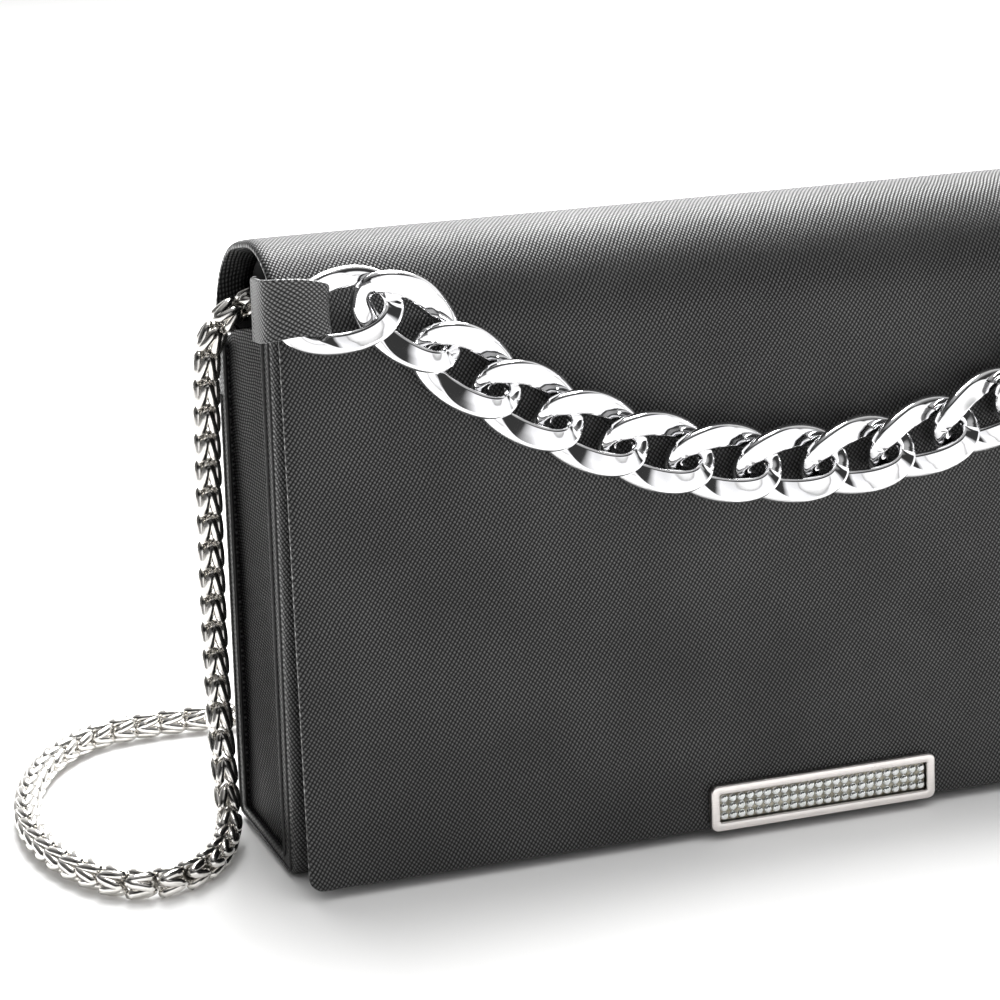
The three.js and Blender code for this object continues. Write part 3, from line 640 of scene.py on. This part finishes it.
def inward_offset(piece):
    """Solidify's offset that grows a sheet towards the inside of the bag."""
    polygon = piece.data.polygons[len(piece.data.polygons) // 2]
    middle = Vector((0, 0, 0.06))
    outward = polygon.normal.dot(polygon.center - middle) > 0
    return -1.0 if outward else 1.0


def gusset_top(y):
    """Height of the side panel's top edge, falling from the front to the lower back."""
    return float(np.interp(y, *zip(*SIDE_TOP)))


def side_sheet(half, foot, radius, plane, sink, lower_top=0.0):
    """Rows over one side panel, sunk inwards a little at the middle."""
    rows = []
    for y in np.linspace(-half, half, 30):
        past = max(0.0, abs(y) - (half - radius))
        bottom = foot + radius - math.sqrt(max(0.0, radius ** 2 - past ** 2))
        top = gusset_top(y) - lower_top
        row = []
        for t in np.linspace(0, 1, 40):
            hollow = sink * (1 - (y / half) ** 2) * math.sin(math.pi * min(1, t * 1.1))
            row.append((plane - hollow, y, bottom + (top - bottom) * t))
        rows.append(row)
    return rows


def mirrored(rows, sign):
    return [[(sign * x, y, z) for x, y, z in row] for row in rows]


def make_side(side, sign, leather, piping_leather, lining):
    low, high = box_mm(f"gusset_{side}")
    rows = mirrored(side_sheet(high[1], low[2], BASE_RADIUS - 1.5, HALF_WIDTH - 0.9, 0.5), sign)
    panel = add_piece(f"side_panel_{side}", grid_mesh("side_panel", rows), leather, "bag",
                      [f"gusset_{side}"])
    thicken(panel, SKIN - 0.2, 0.35, offset=inward_offset(panel))
    low, high = box_mm(f"gusset_lining_{side}")
    plane = max(abs(low[0]), abs(high[0]))
    rows = mirrored(side_sheet(high[1], low[2], 0.5, plane - 0.3, 0.4, lower_top=1.0), sign)
    inner = add_piece(f"side_lining_{side}", grid_mesh("side_lining", rows), lining, "bag",
                      [f"gusset_lining_{side}"])
    thicken(inner, 0.5, 0.15, offset=inward_offset(inner))
    make_piping(side, sign, piping_leather)


def make_piping(side, sign, leather):
    """A covered cord along the seam of the turned edge, and a thinner one out at the panel's corner."""
    cords = []
    for inset, radius in ((0.1, 0.55), (-4.3, 0.35)):
        line = seam_outline(inset)
        line = line[(line[:, 1] < gusset_top(0) - 6) | (line[:, 0] < 0)]
        path = smooth_path([(sign * (HALF_WIDTH + 0.05), y, z) for y, z in line if z < FRONT_TOP - 3], 0.5)
        cords.append(tube_rows(path, radius, 8, 0.10, 1.9))
    count = min(len(rows) for rows in cords)
    seam = join_grids("seam_piping", [rows[:count] for rows in cords], around=True, along=False)
    add_piece(f"seam_piping_{side}", seam, leather, "bag", [f"gusset_piping_{side}"])


def lining_panel(name, node, lining, thin, puff):
    """A sheet in the place of a flat CAD box, thin along one axis and puffed out a little at its middle."""
    low, high = box_mm(node)
    flat = [k for k in range(3) if k != thin]
    rows = []
    for a in np.linspace(low[flat[0]], high[flat[0]], 40):
        row = []
        for b in np.linspace(low[flat[1]], high[flat[1]], 24):
            point = np.zeros(3)
            point[flat[0]], point[flat[1]] = a, b
            fullness = (1 - ((2 * a - low[flat[0]] - high[flat[0]]) / (high[flat[0]] - low[flat[0]])) ** 4)
            fullness *= (1 - ((2 * b - low[flat[1]] - high[flat[1]]) / (high[flat[1]] - low[flat[1]])) ** 4)
            point[thin] = (low[thin] + high[thin]) / 2 + puff * fullness
            row.append(point)
        rows.append(row)
    piece = add_piece(name, grid_mesh(name, rows), lining, "bag", [node])
    thicken(piece, high[thin] - low[thin], 0.25)


def make_lining(lining):
    lining_panel("lining_front", "front_lining", lining, thin=1, puff=0.25)
    lining_panel("lining_back", "back_lining", lining, thin=1, puff=-0.15)
    lining_panel("lining_base", "base_lining", lining, thin=2, puff=0.25)


def make_slip_pocket(lining):
    """A shallow bag of lining fabric on the back wall, its mouth hemmed and bowed forwards a little."""
    low, high = box_mm("slip_pocket")
    wall = 0.7
    rows = []
    for z in np.linspace(low[2] + 0.4, high[2] - 0.4, 30):
        up = (z - low[2]) / (high[2] - low[2])
        hem = 0.35 if z > high[2] - 6 else 0.0
        row = []
        for t in np.linspace(0, math.pi, 60):
            x = (high[0] - 0.4) * -math.copysign(abs(math.cos(t)) ** 0.28, math.cos(t))
            bow = (high[1] - low[1] - wall) * math.sin(t) ** 0.35 * (0.55 + 0.45 * up ** 0.5)
            row.append((x, high[1] - 0.2 - bow + hem * math.sin(t), z))
        rows.append(row)
    mesh = grid_mesh("pocket_front", rows)
    pocket = add_piece("pocket_front", mesh, lining, "bag", ["slip_pocket"])
    thicken(pocket, wall, 0.2)


# ---- Flap ----

def flap_outline():
    """The flap's outer section from the foot of its face, over both rolls, to the fold at the back."""
    normal = np.array([-math.cos(FLAP_LEAN), math.sin(FLAP_LEAN)])
    down = np.array([-math.sin(FLAP_LEAN), -math.cos(FLAP_LEAN)])
    foot = np.array([-(HALF_DEPTH + FLAP_STANDOFF), 0.0])
    back_centre = np.array([HINGE_Y - ROLL_BACK_RADIUS, HINGE_Z])
    above = np.array([math.sin(ROLL_SLOPE), math.cos(ROLL_SLOPE)])
    along = np.array([-math.cos(ROLL_SLOPE), math.sin(ROLL_SLOPE)])
    start = back_centre + above * (ROLL_BACK_RADIUS - ROLL_FRONT_RADIUS)
    reach = (-ROLL_FRONT_RADIUS - (start - foot).dot(normal)) / along.dot(normal)
    front_centre = start + along * reach
    top_angle = math.pi / 2 - ROLL_SLOPE
    face_angle = math.pi - FLAP_LEAN
    rise = arc(front_centre, ROLL_FRONT_RADIUS, face_angle, top_angle, 60)
    fall = arc(back_centre, ROLL_BACK_RADIUS, top_angle, 0, 60)
    bottom = foot - down * (FLAP_FOOT / math.cos(FLAP_LEAN))
    face = list(np.linspace(bottom, rise[0], 240)[:-1])
    slope = list(np.linspace(rise[-1], fall[0], 60)[1:-1])
    return np.array([tuple(p) for p in face + rise + slope + fall])


class Section:
    """A line in Y and Z, measured by its length from the start, with a way to step inwards from it."""

    def __init__(self, outline):
        self.outline = outline
        self.place = lengths_along(outline)
        self.length = self.place[-1]
        self.inward = -left_normals(outline)

    def at(self, place, inset=0.0):
        spot = [np.interp(place, self.place, self.outline[:, k]) for k in range(2)]
        step = [np.interp(place, self.place, self.inward[:, k]) for k in range(2)]
        return spot[0] + step[0] * inset, spot[1] + step[1] * inset


def hem_border(section, corner, steps=8):
    """The flap's rounded-rectangle edge as (x, place, outward x, outward place), starting mid-foot."""
    bend_x, bend_top = HALF_WIDTH - corner, section.length - corner
    border = [(x, 0, 0, -1) for x in np.linspace(0, bend_x, FLAP_SPANS, endpoint=False)]
    for a in np.linspace(0, math.pi / 2, steps, endpoint=False):
        across, along = math.sin(a), -math.cos(a)
        border.append((bend_x + corner * across, corner + corner * along, across, along))
    border += [(HALF_WIDTH, s, 1, 0) for s in np.linspace(corner, bend_top, 110, endpoint=False)]
    for a in np.linspace(0, math.pi / 2, steps + 1):
        across, along = math.cos(a), math.sin(a)
        border.append((bend_x + corner * across, bend_top + corner * along, across, along))
    border += [(x, section.length, 0, 1) for x in np.linspace(bend_x, 0, FLAP_SPANS)[1:]]
    return border


def hem_rings(section, border, profile):
    """Closed rings of points round the flap, from the hem's inner edge, round the rim, onto the face.
    Beside them comes each point's place on the flat leather, for its UV."""
    verts, flat = [], []
    for inwards, depth in profile:
        for x, s, nx, ns in border:
            flat.append((x - nx * inwards, s - ns * inwards))
            verts.append((flat[-1][0], *section.at(flat[-1][1], depth)))
    return verts, flat


def flap_mesh(section, profile):
    """The rim's rings, and a grid of rows that spans the face between the two sides of the last ring."""
    half = hem_border(section, FLAP_CORNER)
    border = half + [(-x, s, -nx, ns) for x, s, nx, ns in reversed(half[1:-1])]
    count = len(border)
    verts, flat = hem_rings(section, border, profile)
    faces = grid_faces(len(profile), count, around=True, along=False)
    last = (len(profile) - 1) * count
    rows = [[last + j % count for j in range(-FLAP_SPANS, FLAP_SPANS + 1)]]
    for j in range(FLAP_SPANS + 1, count // 2 - FLAP_SPANS):
        x_right, s = flat[last + j]
        inner = [(x, s) for x in np.linspace(-x_right, x_right, 2 * FLAP_SPANS + 1)[1:-1]]
        rows.append([last + count - j, *range(len(verts), len(verts) + len(inner)), last + j])
        verts += [(x, *section.at(s, profile[-1][1])) for x, s in inner]
        flat += inner
    rows.append([last + (count // 2 + FLAP_SPANS - a) % count for a in range(2 * FLAP_SPANS + 1)])
    for lower, upper in zip(rows, rows[1:]):
        for a in range(len(lower) - 1):
            faces.append((lower[a], lower[a + 1], upper[a + 1], upper[a]))
    mesh = bpy.data.meshes.new("flap_leather")
    mesh.from_pydata([tuple(c * MM for c in p) for p in verts], [], faces)
    layer = mesh.uv_layers.new(name="UVMap")
    for loop in mesh.loops:
        x, s = flat[loop.vertex_index]
        layer.data[loop.index].uv = (x * MM, s * MM)
    mesh.validate()
    return mesh, count


def make_flap(leather, shaded_under_leather, rim_highlight_leather, lining):
    section = Section(flap_outline())
    mesh, around = flap_mesh(section, HEM_UNDER + HEM_RIM + HEM_OVER)
    flap = add_piece("flap_leather", mesh, leather, "flap", ["flap_skin"])
    # the under-hem faces get the leather copy with painted shade
    flap.data.materials.append(shaded_under_leather)
    # the rim faces get the leather copy with a painted highlight line
    flap.data.materials.append(rim_highlight_leather)
    for polygon in flap.data.polygons[:around * (len(HEM_UNDER) + len(HEM_RIM) - 1)]:
        polygon.material_index = 1 if polygon.index < around * len(HEM_UNDER) else 2
    reach = HALF_WIDTH - HEM_RETURN + 2
    rows = []
    for s in np.linspace(HEM_RETURN - 2, section.length - 1.5, 120):
        y, z = section.at(s, FLAP_THICKNESS - 0.45)
        rows.append([(x, y, z) for x in np.linspace(-reach, reach, 60)])
    mesh = grid_mesh("flap_inner_lining", rows)
    inner = add_piece("flap_inner_lining", mesh, lining, "flap", ["flap_lining"])
    thicken(inner, 0.3, 0.1)


# ---- Closure plate and magnets ----

def rounded_ring(width, height, radius, steps=6):
    """A rounded rectangle's points in X and Z, centred on the origin, always the same count."""
    points = []
    corners = ((1, 1, 0), (-1, 1, 1), (-1, -1, 2), (1, -1, 3))
    for sx, sz, quarter in corners:
        centre = (sx * (width / 2 - radius), sz * (height / 2 - radius))
        points += arc(centre, radius, quarter * math.pi / 2, (quarter + 1) * math.pi / 2, steps)
    return points


def make_closure(metal, bed, crystal):
    placed = face_frame() @ Matrix.Translation((0, 0, (FLAP_FOOT + PLATE_HEIGHT / 2) * MM))
    hole = (PLATE_WIDTH - 2 * PLATE_BORDER, PLATE_HEIGHT - 2 * PLATE_BORDER)
    rim = 0.35
    rings = [
        (PLATE_WIDTH, PLATE_HEIGHT, 1.8, 0.3),
        (PLATE_WIDTH, PLATE_HEIGHT, 1.8, 0.3 + PLATE_DEPTH - rim),
        (PLATE_WIDTH - 0.2, PLATE_HEIGHT - 0.2, 1.7, 0.3 + PLATE_DEPTH - 0.1),
        (PLATE_WIDTH - 2 * rim, PLATE_HEIGHT - 2 * rim, 1.5, 0.3 + PLATE_DEPTH),
        (hole[0] + 2 * rim, hole[1] + 2 * rim, 0.7, 0.3 + PLATE_DEPTH),
        (hole[0] + 0.15, hole[1] + 0.15, 0.5, 0.2 + PLATE_DEPTH),
        (hole[0], hole[1], 0.4, PLATE_DEPTH - 0.1),
        (hole[0], hole[1], 0.4, 0.3),
    ]
    rows = [[(x, -out, z) for x, z in rounded_ring(w, h, r)] for w, h, r, out in rings]
    plate = grid_mesh("closure_frame", rows, around=True, along=True)
    plate.transform(placed)
    add_piece("closure_frame", plate, metal, "flap", ["closure_plate"])
    width, height = hole[0] - 0.3, hole[1] - 0.3
    levels = [(1.0, 0.3), (1.0, 0.75), (0.985, 0.85)]
    rows = [[(x, -out, z) for x, z in rounded_ring(width * f, height * f, 0.4)] for f, out in levels]
    back = grid_mesh("crystal_bed", rows, around=True)
    fill_last_ring(back, len(rows[0]))
    back.transform(placed)
    add_piece("crystal_bed", back, bed, "flap", ["crystal_strip"])
    stones = crystal_mesh()
    stones.transform(placed)
    add_piece("crystals", stones, crystal, "flap", smooth=False)


def fill_last_ring(mesh, count):
    """Closes the last ring of a round grid with one flat face."""
    total = len(mesh.vertices)
    verts = [tuple(v.co) for v in mesh.vertices]
    faces = [tuple(p.vertices) for p in mesh.polygons] + [tuple(range(total - count, total))]
    mesh.clear_geometry()
    mesh.from_pydata(verts, [], faces)


def crystal_mesh():
    """Round cut stones in rows: a girdle, two bands of twelve crown facets and a flat table."""
    verts, faces = [], []
    sides = 12
    for row in range(CRYSTAL_ROWS):
        for column in range(CRYSTAL_COLUMNS):
            x = (column - (CRYSTAL_COLUMNS - 1) / 2) * CRYSTAL_PITCH
            z = (row - (CRYSTAL_ROWS - 1) / 2) * CRYSTAL_ROW_PITCH
            spin = 0.4 * column + 1.1 * row
            start = len(verts)
            levels = ((0.92, 0.75, 0.0), (1.0, 1.0, 0.0), (0.80, 1.32, 0.5), (0.50, 1.5, 0.0))
            for scale, out, shift in levels:
                for k in range(sides):
                    a = 2 * math.pi * (k + shift) / sides + spin
                    r = CRYSTAL_RADIUS * scale
                    verts.append(((x + r * math.cos(a)) * MM, -out * MM, (z + r * math.sin(a)) * MM))
            for level in range(len(levels) - 1):
                for k in range(sides):
                    a, b = start + level * sides + k, start + level * sides + (k + 1) % sides
                    faces.append((a, a + sides, b + sides, b))
            top = start + (len(levels) - 1) * sides
            faces.append(tuple(range(top + sides - 1, top - 1, -1)))
    mesh = bpy.data.meshes.new("crystals")
    mesh.from_pydata(verts, [], faces)
    mesh.validate()
    return mesh


def make_magnet(name, node, body, steel):
    """A round snap half with a turned rim and a dished middle, in the place of its CAD disc."""
    low, high = box_mm(node)
    centre = (low + high) / 2
    radius = (high[0] - low[0]) / 2
    half = 1.4
    lean, facing = (-FLAP_LEAN, 1) if body == "flap" else (0.0, -1)
    profile = [(0.2, half - 0.5), (2.4, half - 0.5), (2.9, half), (radius - 0.6, half),
               (radius - 0.1, half - 0.4), (radius, half - 0.8), (radius, -half + 0.4),
               (radius - 0.4, -half), (0.2, -half)]
    rows = [[(x, out * facing, z) for x, z in arc((0, 0), r, 0, 2 * math.pi, 48)[:-1]] for r, out in profile]
    mesh = grid_mesh(name, rows, around=True)
    mesh.transform(Matrix.Translation(tuple(centre * MM)) @ Matrix.Rotation(lean, 4, "X"))
    piece = add_piece(name, mesh, steel, body, [node])
    round_edges(piece, 0.12, 2)


# ---- Curb-chain handle ----

def ground_section(half, half_thickness, phase):
    """The wire's section as (across, forward): an oval whose front is ground flat between two edges.
    phase runs 0 to 1 along each side of the link. The flat starts as a point and widens from there."""
    power = 2 / 2.3
    widening = min(1.0, max(0.0, (phase - 0.16) / 0.42))
    closing = min(1.0, max(0.0, (1.0 - phase) / 0.06))
    inner_edge = math.radians(158)
    opened = widening * widening * (3 - 2 * widening) * closing
    outer_edge = inner_edge - math.radians(118) * opened - 0.02

    def on_oval(angle):
        c, s = math.cos(angle), math.sin(angle)
        return np.array([half * math.copysign(abs(c) ** power, c),
                         half_thickness * math.copysign(abs(s) ** power, s)])

    start, stop = on_oval(outer_edge), on_oval(inner_edge)
    chord = stop - start
    bevel = min(0.25, 0.5 / max(0.1, np.linalg.norm(chord)))
    flat = []
    for t in (bevel, bevel + 0.02, 0.4, 0.5, 0.6, 0.98 - bevel, 1 - bevel):
        dish = FLAT_DISH * (1 - (2 * t - 1) ** 2)
        flat.append(start + chord * t + np.array([0, (FLAT_RISE - dish) * widening * closing]))
    bow = 2 * math.pi - (inner_edge - outer_edge)
    rounded = [on_oval(inner_edge + bow * t) for t in (0, 0.01, *np.linspace(0.05, 0.95, 23), 0.99, 1)]
    return flat + rounded


def curb_mesh(name, length, width, twist, half_thickness, side_half_width):
    """A closed oval of thick wire, wide along its sides and narrow at its ends, with a ground front."""
    a = length / 2 - END_HALF_WIDTH
    b = width / 2 - side_half_width
    steps = 120
    rows = []
    for i in range(steps):
        u = 2 * math.pi * i / steps
        across = Vector((b * math.cos(u), a * math.sin(u))).normalized()
        half = END_HALF_WIDTH + (side_half_width - END_HALF_WIDTH) * math.sin(u) ** 2
        row = []
        for out, lift in ground_section(half, half_thickness, (u % math.pi) / math.pi):
            row.append((a * math.cos(u) + across.x * out, twist * math.sin(2 * u) - lift,
                        b * math.sin(u) + across.y * out))
        rows.append(row)
    return grid_mesh(name, rows, around=True, along=True)


def place_link(name, node, shape, x, z, tilt, chrome):
    mesh = curb_mesh(name, **shape)
    there = Matrix.Translation((x * MM, -HANDLE_OFFSET * MM, z * MM)) @ Matrix.Rotation(tilt, 4, "Y")
    mesh.transform(face_frame() @ there)
    add_piece(name, mesh, chrome, "handle", [node])


def make_handle(chrome):
    for i in range(LINK_COUNT):
        run = (i - (LINK_COUNT - 1) / 2) * LINK_PITCH
        x = CATENARY_SIZE * math.asinh(run / CATENARY_SIZE)
        z = HANDLE_LOW_POINT + CATENARY_SIZE * (math.cosh(x / CATENARY_SIZE) - 1)
        if i in (0, LINK_COUNT - 1):
            z += END_LINK_LIFT
        tilt = -math.atan(math.sinh(x / CATENARY_SIZE))
        place_link(f"handle_link_{i + 1:02d}", f"curb_link_{i + 1:02d}", LINK, x, z, tilt, chrome)
    for side, sign in SIDES:
        x, tilt = sign * RING_X, -sign * RING_TILT
        place_link(f"handle_ring_{side}", f"end_ring_{side}", RING, x, RING_HEIGHT, tilt, chrome)


# ---- Leather tabs ----

def strap_mesh(name, stations, columns=12):
    """A strap along stations of (x, y, z, half width, curl), its width running up and its edges curled."""
    stations = np.asarray(stations, dtype=float)
    spine = smooth_path(stations[:, :3], 0.4)
    place = lengths_along(spine)
    marks = lengths_along(stations[:, :3])
    marks = marks * place[-1] / marks[-1]
    tangents = np.gradient(spine, axis=0)
    rows = []
    for point, at, tangent in zip(spine, place, tangents):
        half = np.interp(at, marks, stations[:, 3])
        curl = np.interp(at, marks, stations[:, 4])
        up = np.array([0, 0, 1.0])
        flat = np.array([tangent[0], tangent[1], 0])
        flat /= max(1e-6, np.linalg.norm(flat))
        out = np.cross(flat, up)
        steps = np.linspace(-1, 1, columns + 1)
        rows.append([point + up * half * t + out * curl * (abs(t) ** 3) for t in steps])
    return grid_mesh(name, rows)


def make_tabs(side, sign, leather):
    loop = [(sign * x, y, z, half, curl * sign) for x, y, z, half, curl in TAB_LOOP]
    mesh = strap_mesh("tab_strap", loop)
    mesh.transform(face_frame())
    strap = add_piece(f"tab_strap_{side}", mesh, leather, None, [f"tab_loop_{side}"])
    thicken(strap, 1.0, 0.3)
    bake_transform(strap)
    mesh = strap_mesh("tab_root", [(sign * x, *rest) for x, *rest in TAB_SEWN_END])
    sewn = add_piece(f"tab_sewn_end_{side}", mesh, leather, "flap", [f"tab_root_{side}"])
    thicken(sewn, 1.0, 0.3)


# ---- Chain anchors ----

def make_anchor(side, sign, leather, nickel):
    """The D-ring that holds the chain's end, and the leather loop that holds the D-ring."""
    low, high = box_mm(f"d_ring_{side}")
    wire = (high[0] - low[0]) / 2
    centre = (low + high) / 2
    half = (high[1] - low[1]) / 2 - wire
    bow = arc((centre[1], centre[2]), half, -0.12, math.pi + 0.12, 24)
    path = bow + [(centre[1] + y, centre[2] - half) for y in np.linspace(-half, half, 14)]
    path = np.array([(centre[0], y, z) for y, z in path])
    mesh = join_grids("side_ring", [ring_rows(path, wire, path.mean(axis=0))])
    add_piece(f"side_ring_{side}", mesh, nickel, "bag", [f"d_ring_{side}"])
    low, high = box_mm(f"d_ring_loop_{side}")
    inner, outer = (low[0], high[0]) if sign > 0 else (high[0], low[0])
    width = (high[1] - low[1]) / 2
    top = centre[2] - half + wire + 1.0
    legs = [
        (outer - sign * 0.5, low[2] + 0.3), (outer - sign * 0.5, top - 4), (outer - sign * 0.9, top - 1.2),
        (centre[0] + sign * 0.5, top), (inner + sign * 1.2, top - 1.0), (inner + sign * 0.6, top - 4),
        (inner + sign * 2.0, low[2] + 7), (inner + sign * 2.2, low[2] + 0.3),
    ]
    spine = smooth_path([(x, centre[1], z) for x, z in legs], 0.5)
    rows = [[(x, y + t, z) for t in np.linspace(-width, width, 9)] for x, y, z in spine]
    mesh = grid_mesh("side_ring_loop", rows)
    loop = add_piece(f"side_ring_loop_{side}", mesh, leather, "bag",
                     [f"d_ring_loop_{side}"])
    thicken(loop, 0.9, 0.3)


# ---- Studio ----

def make_studio():
    mesh = bpy.data.meshes.new("floor")
    size = 6.0
    corners = [(-size, -size, 0), (size, -size, 0), (size, size, 0), (-size, size, 0)]
    mesh.from_pydata(corners, [], [(0, 1, 2, 3)])
    mesh.materials.append(floor_material())
    floor = bpy.data.objects.new("floor", mesh)
    bpy.context.scene.collection.objects.link(floor)
    make_air()
    bpy.context.scene.view_settings.view_transform = "Standard"
    add_area("back_softbox", place=(0.22, 0.56, 1.02), target=(0, 0, 0.12), width=0.8, height=1.35, power=38)
    fill = add_area("front_fill", place=(-0.1, -1.3, 1.9), target=(0, 0, 0), width=3, height=3, power=37)
    fill.visible_glossy = False


def make_air():
    """White to the camera. To the bag it is a pale room, dim on the left, with a dark band high in front."""
    world = bpy.data.worlds.new("studio_air")
    world.use_nodes = True
    air = Nodes(world.node_tree)
    where = air.node("ShaderNodeTexCoord").outputs["Generated"]
    split = air.node("ShaderNodeSeparateXYZ", {"Vector": where}).outputs
    height = air.math("MULTIPLY_ADD", split["Z"], 0.5, 0.5)
    front = air.ramp(height, (0.0, 1.2), (0.62, (1.2, 1.2, 1.22)), (0.68, 0.04), (0.84, 0.04), (0.90, 0.45))
    back = air.ramp(height, (0.0, 1.0), (0.5, 1.1), (1.0, 0.5))
    behind = air.scaled(split["Y"], 0.0, 1.0, (-0.35, 0.1))
    room = air.node("ShaderNodeMixRGB", {"Fac": behind, "Color1": front, "Color2": back}).outputs["Color"]
    seen = air.node("ShaderNodeLightPath").outputs["Is Camera Ray"]
    white = (1, 1, 1, 1)
    shown = air.node("ShaderNodeMixRGB", {"Fac": seen, "Color1": room, "Color2": white}).outputs["Color"]
    left_dim = air.scaled(split["X"], 0.15, 1.0, (-0.7, -0.15))
    air.links.new(shown, air.nodes["Background"].inputs["Color"])
    air.links.new(air.math("MAXIMUM", seen, left_dim), air.nodes["Background"].inputs["Strength"])
    bpy.context.scene.world = world


def add_area(name, place, target, width, height, power):
    data = bpy.data.lights.new(name, "AREA")
    data.shape = "RECTANGLE"
    data.size, data.size_y = width, height
    data.energy = power
    light = bpy.data.objects.new(name, data)
    light.location = place
    light.rotation_euler = (Vector(target) - Vector(place)).to_track_quat("-Z", "Y").to_euler()
    bpy.context.scene.collection.objects.link(light)
    return light


def dress(nodes, material):
    """Gives a CAD node that stays its finished material."""
    for node in nodes:
        shown = frame["nodes"][node]
        shown.data.materials.clear()
        shown.data.materials.append(material)


make_camera()
nickel = nickel_material()
make_shoulder_chain(nickel)

leather = leather_material("black_leather")
edge_leather = leather_material("edge_leather", (0.6, 0.6), math.radians(20), depth=0.07)
# painted shade: a darker copy of the leather, colour scaled by 0.45, on the side panels and the flap's
# under-hem
shaded_side_leather = leather_material("shaded_side_leather", (0.75, 1.6), math.radians(10), 0.16, shine=0.08, light=0.45)
# painted highlight: a lighter copy of the leather, colour scaled by 2.2, on the tabs
lit_tab_leather = leather_material("lit_tab_leather", depth=0.16, shine=1.8, light=2.2)
# painted highlight: a much lighter copy of the leather, colour scaled by 3, painted as the bright line along
# the flap's rim
rim_highlight_leather = leather_material("rim_highlight_leather", (1.2, 1.2), depth=0.05, shine=1.2, light=3.0)
lining = fabric_material("lining_fabric", (0.010, 0.010, 0.011), (0.035, 0.034, 0.036))
make_body(leather)
make_lining(lining)
make_slip_pocket(lining)
for side, sign in SIDES:
    make_side(side, sign, shaded_side_leather, edge_leather, lining)
    make_anchor(side, sign, edge_leather, nickel)
    make_tabs(side, sign, lit_tab_leather)
make_flap(leather, shaded_side_leather, rim_highlight_leather, lining)
make_closure(closure_material(), bed_material(), crystal_material())
make_magnet("snap_body_half", "body_magnet", "bag", nickel)
make_magnet("snap_flap_half", "flap_magnet", "flap", nickel)
make_handle(chrome_material())
dress(["front_board", "back_board", "base_board", "flap_board", "flap_roll_stiffener"], board_material())
make_studio()
